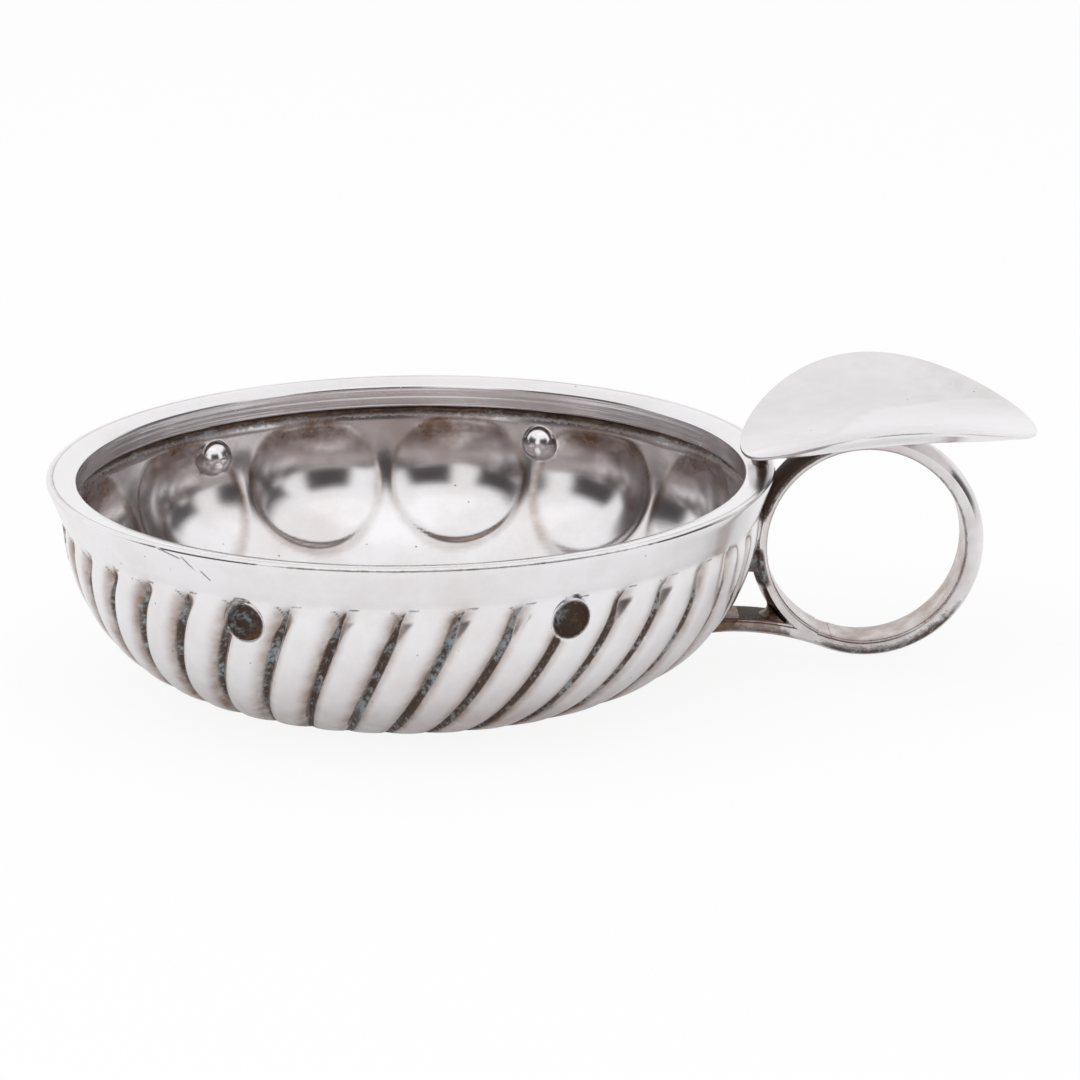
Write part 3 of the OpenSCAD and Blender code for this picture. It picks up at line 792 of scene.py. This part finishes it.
def strap_masks(s, mesh):
    """Masks of the strap and its wall solder by place.

    The dark mask lays a painted shadow of the rest on the strap beside it, makes the spur's top very dark,
    lays painted reflections of the shaded floor on the spur's sides and as a line under the ring, darkens the
    strap at the wall and draws a line in the ring's inner corner. Tarnish browns the inside, most at the
    bottom.
    """
    at = handle(s)
    x, y, z = mesh_points(mesh).T / MM
    aside = np.abs(y)
    inward = np.hypot(x - at.hole[0], z - at.hole[1]) - s.hole_d / 2
    outward = np.hypot(x - at.outer[0], z - at.outer[1]) - at.ring_r
    lift = np.hypot(x - at.spur[0], z - at.spur[1]) - at.spur_r
    turn = np.degrees(np.arctan2(z - at.outer[1], x - at.outer[0]))
    front = smooth(1.2, 2.4, aside)
    spur = smooth(0.05, 0.3, outward) * (z < 8)
    # Painted shadow of the thumb rest on the strap's upper left
    patch = smooth(0.3, 0.8, inward) * between(96, 110, 155, 170, turn)
    # Darker where the strap meets the wall
    wall_dark = smooth(0.15, 0.75, inward) * between(8.4, 10.2, 12.6, 14.4, z) * (x < 44)
    spur_top = smooth(1.7, 1.95, lift) * (1 - smooth(2.2, 2.5, aside))
    # Painted reflection of the shaded floor on the spur's sides
    spur_side_reflection = smooth(2.4, 2.65, aside) * (1 - smooth(1.45, 1.7, lift))
    # Painted reflection of the shaded floor, as a line under the ring
    under = hill(outward, -0.86, 0.3) * front * between(-128, -105, -55, -15, turn)
    corner = hill(inward, 0.2, 0.16) * front * between(-80, -30, 40, 75, turn)
    on_spur = spur * (1.8 * spur_top + 0.7 * spur_side_reflection)
    brown = (0.16 + 0.4 * between(-150, -110, -10, 40, turn)) * (1 - smooth(0.1, 0.7, inward))
    soot = np.maximum.reduce([1.8 * patch, 1.3 * wall_dark, on_spur, 0.95 * under, 0.5 * corner])
    tarnish = np.maximum.reduce([0.16 + brown, 0.8 * wall_dark, 0.8 * spur])
    set_masks(mesh, soot=soot, tarnish=np.clip(tarnish, 0, 0.95))


def pad_mesh(s):
    """The lug between rim and rest: a squarish oval that narrows at half height.

    Its foot follows the rim's slope, and its head the underside of the plate.
    """
    circle = unit(np.linspace(0, 2 * np.pi, 64, endpoint=False))
    across, along = (np.sign(circle) * np.abs(circle) ** 0.7).T
    share, cap = np.linspace(0, 1, 11), np.array([0, 0.35, 0.7, 0.9])
    spread = np.r_[cap, 1 - 0.3 * np.sin(np.pi * share), cap[::-1]][:, None]
    share = np.r_[0 * cap, share, 0 * cap + 1][:, None]
    x = s.rim_d / 2 - s.rim_w / 2 + spread * s.pad_l / 2 * across
    y = spread * s.pad_w / 2 * along
    seat = s.rim_d / 2 - s.sheet_t
    slope = np.clip((seat - np.hypot(x, y)) / (seat - s.rim_d / 2 + s.rim_w), 0, 1)
    foot = s.bowl_h - s.rim_fall * slope + s.joint
    head = rest_height(s, x, y, True) - s.joint
    return new_mesh("rim_pad", *turned_skin(np.stack([x, y, foot + share * (head - foot)], -1)))


def lump_mesh(s, off):
    """The plain bowl as a solid lump, its skin moved outwards by off."""
    r, z, _ = wall(s, np.linspace(90, 0, 40), off)
    r, z = np.r_[0, r, s.rim_d / 2 + off, 0], np.r_[-off, z, s.bowl_h, s.bowl_h]
    return new_mesh("lump", *turned_skin(turned(r, z, 360)))


def rest_axis(s):
    """Centre of the arch of the thumb rest: a circle through its seats on the pad and on the ring."""
    a = np.array([s.rim_d / 2 - s.rim_w / 2, s.bowl_h + s.pad_h])
    b = handle(s).hole + [0, s.hole_d / 2 + s.strap_seat_t + s.joint]
    chord = b - a
    span = np.linalg.norm(chord)
    drop = np.sqrt(s.rest_arch_r**2 - span**2 / 4)
    return (a + b) / 2 + drop * np.array([chord[1], -chord[0]]) / span


def rest_height(s, x, y, lower):
    """Height of the rest's upper or lower face: a circle across, swept about a Y axis far below."""
    axis = rest_axis(s)
    radius = s.rest_bend_r + (s.rest_t if lower else 0)
    reach = s.rest_arch_r + s.rest_bend_r + s.rest_t - np.sqrt(radius**2 - y**2)
    return axis[1] + np.sqrt(reach**2 - (x - axis[0]) ** 2)


def rest_mesh(s):
    """The thumb rest: an egg outline filled with rings on both faces, thinned towards a rounded edge."""
    a = np.linspace(0, 2 * np.pi, 200, endpoint=False)
    shares = np.r_[0, np.linspace(0.06, 0.9, 20), 0.94, 0.97, 0.99, 0.998]
    thin = 0.5 * smooth(0.8, 1.0, shares)
    share = np.r_[shares, 1, shares[::-1]][:, None]
    x = s.rim_d / 2 - s.rest_reach + s.rest_len / 2 * (1 - share * np.cos(a))
    y = share * s.rest_w / 2 * np.sin(a) * (1 + REST_EGG * np.cos(a))
    top, low = (rest_height(s, x, y, lower) for lower in (False, True))
    up = np.r_[1 - 0.15 * thin, 0.68, 0.95 * thin[::-1]][:, None]
    mesh = new_mesh("thumb_rest", *turned_skin(np.stack([x, y, low + up * (top - low)], -1)))
    x, y, _ = mesh_points(mesh).T / MM
    # Painted reflection browns the plate past a line bending to the far side; the brown is thicker towards
    # the far end
    line = 9 * smooth(45.5, 54, x) + 2 * smooth(54, 66, x) - 3
    film_and_shade = 0.1 * smooth(-0.3, 0.3, y - line) + 0.14 * smooth(56, 66, x) * smooth(0, 8, y)
    set_masks(mesh, soot=0 * x, tarnish=film_and_shade)
    return mesh


def above_rest_mesh(s, rows=60, columns=25, margin=2, half=8, high=45.0):
    """A closed block from just under the rest's lower face upwards, which trims what lies under the rest."""
    start = s.rim_d / 2 - s.rest_reach
    x, y = np.linspace(start - margin, start + s.rest_len + margin, rows), np.linspace(-half, half, columns)
    x, y = np.meshgrid(x, y, indexing="ij")
    low = rest_height(s, x, y, True) - s.joint
    points = np.concatenate([np.stack([x, y, z], -1).reshape(-1, 3) for z in (low, 0 * low + high)])
    at = np.arange(x.size).reshape(rows, columns)
    edge = np.r_[at[0], at[1:, -1], at[-1, -2::-1], at[-2:0:-1, 0]]
    ahead = np.roll(edge, -1)
    sides = np.stack([edge, edge + x.size, ahead + x.size, ahead], -1)
    quads = grid_faces(rows, columns)
    return new_mesh("above_rest", points, [quads, quads[:, ::-1] + x.size, sides])


def add(tree, kind, inputs=None, out=0, **settings):
    """Adds a node with its settings and links, and gives an output. An input is a value or an output."""
    node = tree.nodes.new("ShaderNode" + kind)
    for key, value in settings.items():
        setattr(node, key, value)
    for key, value in (inputs or {}).items():
        if isinstance(value, bpy.types.NodeSocket):
            tree.links.new(value, node.inputs[key])
        else:
            node.inputs[key].default_value = value
    return node.outputs[out] if len(node.outputs) else None


def new_material(name):
    """An empty material, and add for its tree."""
    material = bpy.data.materials.new(name)
    material.use_nodes = True
    material.node_tree.nodes.clear()
    return material, partial(add, material.node_tree)


def stroke(node, where, start, end, width=0.14):
    """One fine scratch: 1 on the line from start to end as seen from outside, 0 beside it and behind it."""
    start, end = np.array(start), np.array(end)
    span = np.linalg.norm(end - start)
    along, out = (end - start) / span, (start + end) * (1, 1, 0)
    out = out / np.linalg.norm(out)
    aside = np.cross(along, out)
    ways = (along / span / MM, aside / np.linalg.norm(aside), out)
    offset = node("VectorMath", {0: where, 1: start * MM}, operation="SUBTRACT")
    gone, beside, ahead = (
        node("VectorMath", {0: offset, 1: way}, "Value", operation="DOT_PRODUCT") for way in ways
    )
    left = node("Math", {0: 1.0, 1: gone}, operation="SUBTRACT")
    inside = node("Math", {0: gone, 1: left}, operation="MULTIPLY")
    inside = node("MapRange", {"Value": inside, "From Max": 0.12})
    near = node("Math", {0: beside}, operation="ABSOLUTE")
    near = node("MapRange", {"Value": near, "From Max": width * MM, "To Min": 0.9, "To Max": 0.0})
    front = node("MapRange", {"Value": ahead, "From Min": -0.6 * MM, "From Max": -0.4 * MM})
    near = node("Math", {0: near, 1: inside}, operation="MULTIPLY")
    return node("Math", {0: near, 1: front}, operation="MULTIPLY")


def old_silver(colours, name, roughness, warmth, brushed, strokes=()):
    """Old hand-raised silver, hammered and worn bright by polishing.

    The eye sees a bright, cool mirror with faint waves, fine streaks along the polish, thin pinkish tarnish
    in clouds, brown films beside the grooves, and a black-brown crust with grey and golden crumbs where no
    cloth reaches. The films and the crust also carry painted shade, painted shadow and painted reflection
    where the masks lay them.
    """
    material, node = new_material(name)
    where = node("TexCoord", out="Object")
    soot, tarnish = (node("Attribute", out="Fac", attribute_name=mask) for mask in ("soot", "tarnish"))
    # Clouds of thin tarnish, about 12 mm across
    clouds = node("TexNoise", {"Vector": where, "Scale": 1 / (12 * MM), "Detail": 7.0, "Roughness": 0.7})
    # Crumbs of the crust, about 0.6 mm
    crumbs = node("TexNoise", {"Vector": where, "Scale": 1 / (0.6 * MM), "Detail": 3.0, "Roughness": 0.65})
    # Waves left by the hammer, about 7 mm
    waves = node("TexNoise", {"Vector": where, "Scale": 1 / (7 * MM), "Detail": 1.0})
    # Streaks of the polishing cloth, about 20 mm long and 0.3 mm high
    flat = node("Mapping", {"Vector": where, "Scale": (1, 1, 66)}, vector_type="POINT")
    streaks = node("TexNoise", {"Vector": flat, "Scale": 1 / (20 * MM), "Detail": 3.0, "Roughness": 0.6})
    warm = node("MapRange", {"Value": clouds, "From Min": 0.42, "From Max": 0.7, "To Max": warmth})
    tones = {6: linear(colours.silver), 7: linear(colours.warm)}
    base = node("Mix", {"Factor": warm, **tones}, 2, data_type="RGBA")

    # The film, and the painted shade in it, lie in clouds, and in patches of about 2.5 mm or in streaks
    patches = node("TexNoise", {"Vector": where, "Scale": 1 / (2.5 * MM), "Detail": 3.0, "Roughness": 0.6})
    uneven = node("Mix", {"Factor": brushed, 2: patches, 3: streaks})
    uneven = node("Math", {0: clouds, 1: uneven}, operation="ADD")
    swing = 0.35 + 0.4 * brushed
    limits = {"From Min": 0.75, "From Max": 1.25, "To Min": 0.85 - swing, "To Max": 0.85 + swing}
    uneven = node("MapRange", {"Value": uneven, **limits})
    brown_by = node("Math", {0: tarnish, 1: uneven}, operation="MULTIPLY", use_clamp=True)
    brown = node("Mix", {"Factor": brown_by, 6: base, 7: linear(colours.tarnish)}, 2, data_type="RGBA")

    # The crust, and the painted shade, shadow and reflection laid with it, break up into crumbs at the edge
    ragged = node("Math", {0: crumbs, 1: -0.5}, operation="ADD")
    ragged = node("Math", {0: ragged, 1: 0.8, 2: soot}, operation="MULTIPLY_ADD")
    limits = {"From Min": 0.2, "From Max": 0.8}
    dark_by = node("MapRange", {"Value": ragged, **limits}, interpolation_type="SMOOTHSTEP")
    gate = node("MapRange", {"Value": soot, "From Min": 0.02, "From Max": 0.2})
    dark_by = node("Math", {0: dark_by, 1: gate}, operation="MULTIPLY")
    # Pits in the old skin, each about 0.3 mm and 3 mm apart
    spots = node("TexVoronoi", {"Vector": where, "Scale": 1 / (3 * MM), "Randomness": 1.0})
    limits = {"From Min": 0.02, "From Max": 0.05, "To Min": 0.6, "To Max": 0.0}
    pits = node("MapRange", {"Value": spots, **limits})
    for mark in (pits, *(stroke(node, where, *ends) for ends in strokes)):
        dark_by = node("Math", {0: dark_by, 1: mark}, operation="MAXIMUM")

    # Stretches of the crust that have gone grey, about 4 mm long, or golden where the tarnish is full, which
    # is only on one side of each dimple, as painted shading
    grey = node("TexNoise", {"Vector": where, "Scale": 1 / (4 * MM), "Detail": 2.0})
    grey = node("Math", {0: grey, 1: 0.8, 2: crumbs}, operation="MULTIPLY_ADD")
    flecks = node("MapRange", {"Value": grey, "From Min": 0.88, "From Max": 1.1})
    # A thick crust, or the painted shadow of the rest, has none
    thin = node("MapRange", {"Value": soot, "From Min": 1.2, "From Max": 1.6, "To Min": 1.0, "To Max": 0.0})
    flecks = node("Math", {0: flecks, 1: thin}, operation="MULTIPLY")
    golden = node("MapRange", {"Value": tarnish, "From Min": 0.96, "From Max": 1.0})
    tones = {6: linear(colours.slate), 7: linear(colours.amber)}
    fleck = node("Mix", {"Factor": golden, **tones}, 2, data_type="RGBA")
    dark = node("Mix", {"Factor": flecks, 6: linear(colours.patina_and_shade), 7: fleck}, 2, data_type="RGBA")
    colour = node("Mix", {"Factor": dark_by, 6: brown, 7: dark}, 2, data_type="RGBA")

    metal = node("MapRange", {"Value": dark_by, "To Min": 1.0, "To Max": 0.3})
    dull = node("MapRange", {"Value": dark_by, "To Min": roughness, "To Max": 0.55})
    dull = node("Math", {0: brown_by, 1: 0.12, 2: dull}, operation="MULTIPLY_ADD")
    crust_and_shade = node("Math", {0: crumbs, 1: dark_by}, operation="MULTIPLY")
    bump = node("Bump", {"Height": waves, "Strength": 0.25, "Distance": 0.4 * MM})
    for height, strength, deep in ((streaks, 0.02 + 0.1 * brushed, 0.1), (crust_and_shade, 0.5, 0.25)):
        bump = node("Bump", {"Height": height, "Strength": strength, "Distance": deep * MM, "Normal": bump})
    finish = {"Base Color": colour, "Metallic": metal, "Roughness": dull, "Normal": bump}
    node("OutputMaterial", {"Surface": node("BsdfPrincipled", finish)})
    return material


def solder_metal(name, first, second):
    """Silver solder, flowed and left as it froze: lumpy, dull and browner than the silver, in two colours."""
    material, node = new_material(name)
    where = node("TexCoord", out="Object")
    # Lumps of the frozen solder, about 1.2 mm
    lumps = node("TexNoise", {"Vector": where, "Scale": 1 / (1.2 * MM), "Detail": 4.0, "Roughness": 0.6})
    share = node("MapRange", {"Value": lumps, "From Min": 0.35, "From Max": 0.68})
    colour = node("Mix", {"Factor": share, 6: linear(first), 7: linear(second)}, 2, data_type="RGBA")
    bump = node("Bump", {"Height": lumps, "Strength": 0.6, "Distance": 0.3 * MM})
    finish = {"Base Color": colour, "Metallic": 0.85, "Roughness": 0.36, "Normal": bump}
    node("OutputMaterial", {"Surface": node("BsdfPrincipled", finish)})
    return material


def studio_floor(colours):
    """Matt white studio card. Part of its white reaches camera and metal directly, past the shadow."""
    material, node = new_material("white_studio_card")
    rays = ("Is Camera Ray", "Is Transmission Ray", "Is Glossy Ray")
    camera, through, glossy = (node("LightPath", out=ray) for ray in rays)
    seen = node("Math", {0: camera, 1: through}, operation="MAXIMUM")
    seen = node("Math", {0: seen, 1: 0.9}, operation="MULTIPLY")
    share = node("Math", {0: glossy, 1: 0.35, 2: seen}, operation="MULTIPLY_ADD")
    matt = node("BsdfDiffuse", {"Color": linear(colours.floor)})
    glow = node("Emission", {"Color": (1, 1, 1, 1), "Strength": 1.0})
    node("OutputMaterial", {"Surface": node("MixShader", {0: share, 1: matt, 2: glow})})
    return material


def stage_card(name, code, strength):
    """Studio cloth with a soft edge. The metal mirrors it as a grey patch that fades out."""
    material, node = new_material(name + "_cloth")
    solid = node("Attribute", out="Fac", attribute_name="solid")
    clear = node("BsdfTransparent")
    cloth = node("Emission", {"Color": linear(code), "Strength": strength})
    node("OutputMaterial", {"Surface": node("MixShader", {0: solid, 1: clear, 2: cloth})})
    return material


def set_floor(scene, colours, side=3000.0, low=-0.02):
    """A wide floor just under the base."""
    corners = [(-side, -side, low), (side, -side, low), (side, side, low), (-side, side, low)]
    mesh = new_mesh("floor", corners, [np.array([[0, 1, 2, 3]])])
    mesh.materials.append(studio_floor(colours))
    floor = bpy.data.objects.new("floor", mesh)
    scene.collection.objects.link(floor)


def set_world(scene):
    """White all round, a little weaker for diffuse light."""
    world = bpy.data.worlds.new("white_studio")
    world.use_nodes = True
    world.node_tree.nodes.clear()
    node = partial(add, world.node_tree)
    seen = node("LightPath", out="Is Camera Ray")
    for ray in ("Is Glossy Ray", "Is Transmission Ray"):
        seen = node("Math", {0: seen, 1: node("LightPath", out=ray)}, operation="MAXIMUM")
    strength = node("MapRange", {"Value": seen, "To Min": 0.8, "To Max": 1.0})
    sky = node("Background", {"Color": (1, 1, 1, 1), "Strength": strength})
    node("OutputWorld", {"Surface": sky})
    scene.world = world


def set_card(scene, name, code, strength, start, end, low, high, reach, columns=25, rows=9):
    """A patch of a sphere that only the metal sees, solid in the middle and clear at its edge."""
    u, v = np.meshgrid(np.linspace(0, 1, columns), np.linspace(0, 1, rows), indexing="ij")
    a, e = np.radians(start + u * (end - start)), np.radians(low + v * (high - low))
    points = reach * np.stack([np.cos(a) * np.cos(e), np.sin(a) * np.cos(e), np.sin(e)], -1)
    mesh = new_mesh(name, points.reshape(-1, 3), [grid_faces(columns, rows)])
    solid = smooth(0, 0.2, u) * smooth(0, 0.2, 1 - u) * smooth(0, 0.25, v) * smooth(0, 0.25, 1 - v)
    set_masks(mesh, solid=solid.ravel())
    mesh.materials.append(stage_card(name, code, strength))
    card = bpy.data.objects.new(name, mesh)
    card.visible_camera = card.visible_diffuse = card.visible_shadow = False
    scene.collection.objects.link(card)


def set_lamp(scene, name, where, size, power):
    """A softbox that looks at the taster and isn't mirrored in it."""
    lamp = bpy.data.lights.new(name, "AREA")
    lamp.shape = "RECTANGLE"
    lamp.size, lamp.size_y = size[0] * MM, size[1] * MM
    lamp.energy = power
    item = bpy.data.objects.new(name, lamp)
    item.location = Vector(where) * MM
    item.rotation_euler = (Vector(LAMP_AIM) * MM - item.location).to_track_quat("-Z", "Y").to_euler()
    item.visible_glossy = False
    scene.collection.objects.link(item)


def set_camera(scene, s):
    """The camera looks at the middle of the rim, then turns a little off it by yaw, pitch and roll."""
    angles = (CAMERA_ELEVATION, CAMERA_YAW, CAMERA_PITCH, CAMERA_ROLL)
    (ex, ez), (yx, yz), (px, pz), (rx, rz) = unit(np.radians(angles))
    right, ahead = np.array([1.0, 0, 0]), np.array([0, ex, -ez])
    up = np.cross(right, ahead)
    where = np.array([0, 0, s.bowl_h]) - CAMERA_FAR * ahead
    right, ahead = yx * right - yz * ahead, yz * right + yx * ahead
    up, ahead = px * up - pz * ahead, pz * up + px * ahead
    right, up = rx * right + rz * up, rx * up - rz * right
    data = bpy.data.cameras.new("camera")
    data.sensor_width, data.sensor_fit, data.lens = SENSOR, "HORIZONTAL", FOCAL / FRAME * SENSOR
    data.clip_start, data.clip_end = 0.01, 20
    camera = bpy.data.objects.new("camera", data)
    turn = np.eye(4)
    turn[:3] = np.stack([right, up, -ahead, where * MM], -1)
    camera.matrix_world = Matrix(turn.tolist())
    scene.collection.objects.link(camera)
    scene.camera = camera


class TASTER_OT_bowl(bpy.types.Operator):
    """Raise the chased bowl with its beads and dimples"""

    bl_idname = "taster.bowl"
    bl_label = "Bowl"

    def execute(self, context):
        s, colours = in_mm(context.scene.taster_sizes), context.scene.taster_colours
        skin = new_mesh("bowl_sheet", *bowl_skin(s))
        domes = new_mesh("domes", *balls(s, s.bead_d, True))
        bores = new_mesh("bores", *balls(s, s.dimple_d, False))
        mesh = carve(context, skin, ("UNION", domes), ("DIFFERENCE", bores))
        bowl_masks(s, mesh)
        silver = old_silver(colours, "old_silver_chased", 0.17, 0.4, 0.1, STROKES)
        place(context, "bowl_silver", mesh, "bowl", silver)
        return {"FINISHED"}


class TASTER_OT_rim(bpy.types.Operator):
    """Lay the rim wire and its solder seam inside the lip"""

    bl_idname = "taster.rim"
    bl_label = "Rim"

    def execute(self, context):
        s, colours = in_mm(context.scene.taster_sizes), context.scene.taster_colours
        silver = old_silver(colours, "old_silver_worn", 0.2, 0.2, 1.0)
        place(context, "rim_wire_silver", wire_mesh(s), "rim_wire", silver, 38)
        solder = solder_metal("silver_solder_seam", colours.patina_and_shade, colours.tarnish)
        place(context, "rim_seam_solder", seam_mesh(s), "rim_solder", solder, 60)
        return {"FINISHED"}


class TASTER_OT_ring(bpy.types.Operator):
    """Roll the finger ring with its spur, trim it to its seats and solder it to the wall"""

    bl_idname = "taster.ring"
    bl_label = "Finger ring"

    def execute(self, context):
        s, colours = in_mm(context.scene.taster_sizes), context.scene.taster_colours
        whole = carve(context, ring_mesh(s), ("UNION", spur_mesh(s)))
        ring = cut(context, whole, lump_mesh(s, s.solder_t), above_rest_mesh(s))
        filed = cut(context, ring_mesh(s, s.joint), lump_mesh(s, s.solder_t - s.joint))
        web = cut(context, wall_web(s), lump_mesh(s, s.joint), filed)
        silver = old_silver(colours, "old_silver_strap", 0.2, 0.6, 0.0)
        for name, mesh, node, slot in (
            ("finger_ring_silver", ring, "finger_ring", "silver"),
            ("wall_solder_web", web, "wall_solder", "solder"),
        ):
            strap_masks(s, mesh)
            place(context, name, mesh, node, silver, 40)
        return {"FINISHED"}


class TASTER_OT_rest(bpy.types.Operator):
    """Hammer out the thumb rest"""

    bl_idname = "taster.rest"
    bl_label = "Thumb rest"

    def execute(self, context):
        s, colours = in_mm(context.scene.taster_sizes), context.scene.taster_colours
        silver = old_silver(colours, "old_silver_plate", 0.22, 0.1, 0.0)
        place(context, "thumb_rest_silver", rest_mesh(s), "thumb_rest", silver)
        return {"FINISHED"}


class TASTER_OT_solder(bpy.types.Operator):
    """Flow the solder joints of the handle and cut them to the pieces that they join"""

    bl_idname = "taster.solder"
    bl_label = "Handle solder"

    def execute(self, context):
        s, colours = in_mm(context.scene.taster_sizes), context.scene.taster_colours
        bright = solder_metal("silver_solder_flowed", colours.tarnish, colours.silver)
        dull = solder_metal("silver_solder_sooty", colours.patina_and_shade, colours.tarnish)
        # With an endless run the cover is the spur itself, grown by the joint
        spur = cut(context, spur_cover(s, s.joint, 1e6), lump_mesh(s, s.solder_t - s.joint))
        collar = cut(context, spur_cover(s, s.collar_t, s.collar_l), lump_mesh(s, s.joint), spur)
        fillet = cut(context, seat_drop(s), ring_mesh(s, s.joint), above_rest_mesh(s))
        lap = cut(context, lap_web(s), ring_mesh(s, s.joint), spur_mesh(s, s.joint))
        place(context, "spur_solder_collar", collar, "spur_solder", dull)
        place(context, "lap_solder_web", lap, "lap_solder", dull)
        place(context, "rim_pad_solder", pad_mesh(s), "rim_pad", dull)
        place(context, "rest_solder_fillet", fillet, "rest_solder", bright)
        return {"FINISHED"}


class TASTER_OT_stage(bpy.types.Operator):
    """Set the floor, the soft light and the camera"""

    bl_idname = "taster.stage"
    bl_label = "Stage"

    def execute(self, context):
        scene = context.scene
        set_floor(scene, scene.taster_colours)
        set_world(scene)
        # Dark flags beside the camera and pale cards behind and above give the metal its soft reflections
        for name, card in CARDS.items():
            set_card(scene, name, *card)
        for name, lamp in LAMPS.items():
            set_lamp(scene, name, *lamp)
        set_camera(scene, in_mm(scene.taster_sizes))
        scene.view_settings.view_transform = "Standard"
        return {"FINISHED"}


class TASTER_PT_panel(bpy.types.Panel):
    """Lists the taster's pieces, sizes and colours"""

    bl_idname = "TASTER_PT_panel"
    bl_label = "Wine taster"
    bl_space_type = "VIEW_3D"
    bl_region_type = "UI"
    bl_category = "Taster"

    def draw(self, context):
        for operator in OPERATORS:
            self.layout.operator(operator.bl_idname)
        for group in (context.scene.taster_sizes, context.scene.taster_colours):
            for name in group.__annotations__:
                self.layout.prop(group, name)


OPERATORS = (TASTER_OT_stage, TASTER_OT_bowl, TASTER_OT_rim, TASTER_OT_ring, TASTER_OT_rest, TASTER_OT_solder)
CLASSES = (TasterSizes, TasterColours, *OPERATORS, TASTER_PT_panel)


def register():
    for cls in CLASSES:
        bpy.utils.register_class(cls)
    bpy.types.Scene.taster_sizes = PointerProperty(type=TasterSizes)
    bpy.types.Scene.taster_colours = PointerProperty(type=TasterColours)


def unregister():
    del bpy.types.Scene.taster_colours
    del bpy.types.Scene.taster_sizes
    for cls in reversed(CLASSES):
        bpy.utils.unregister_class(cls)


def main():
    """Registers the add-on and makes every piece."""
    register()
    bpy.ops.taster.stage()
    bpy.ops.taster.bowl()
    bpy.ops.taster.rim()
    bpy.ops.taster.ring()
    bpy.ops.taster.rest()
    bpy.ops.taster.solder()


if __name__ == "__main__":
    main()
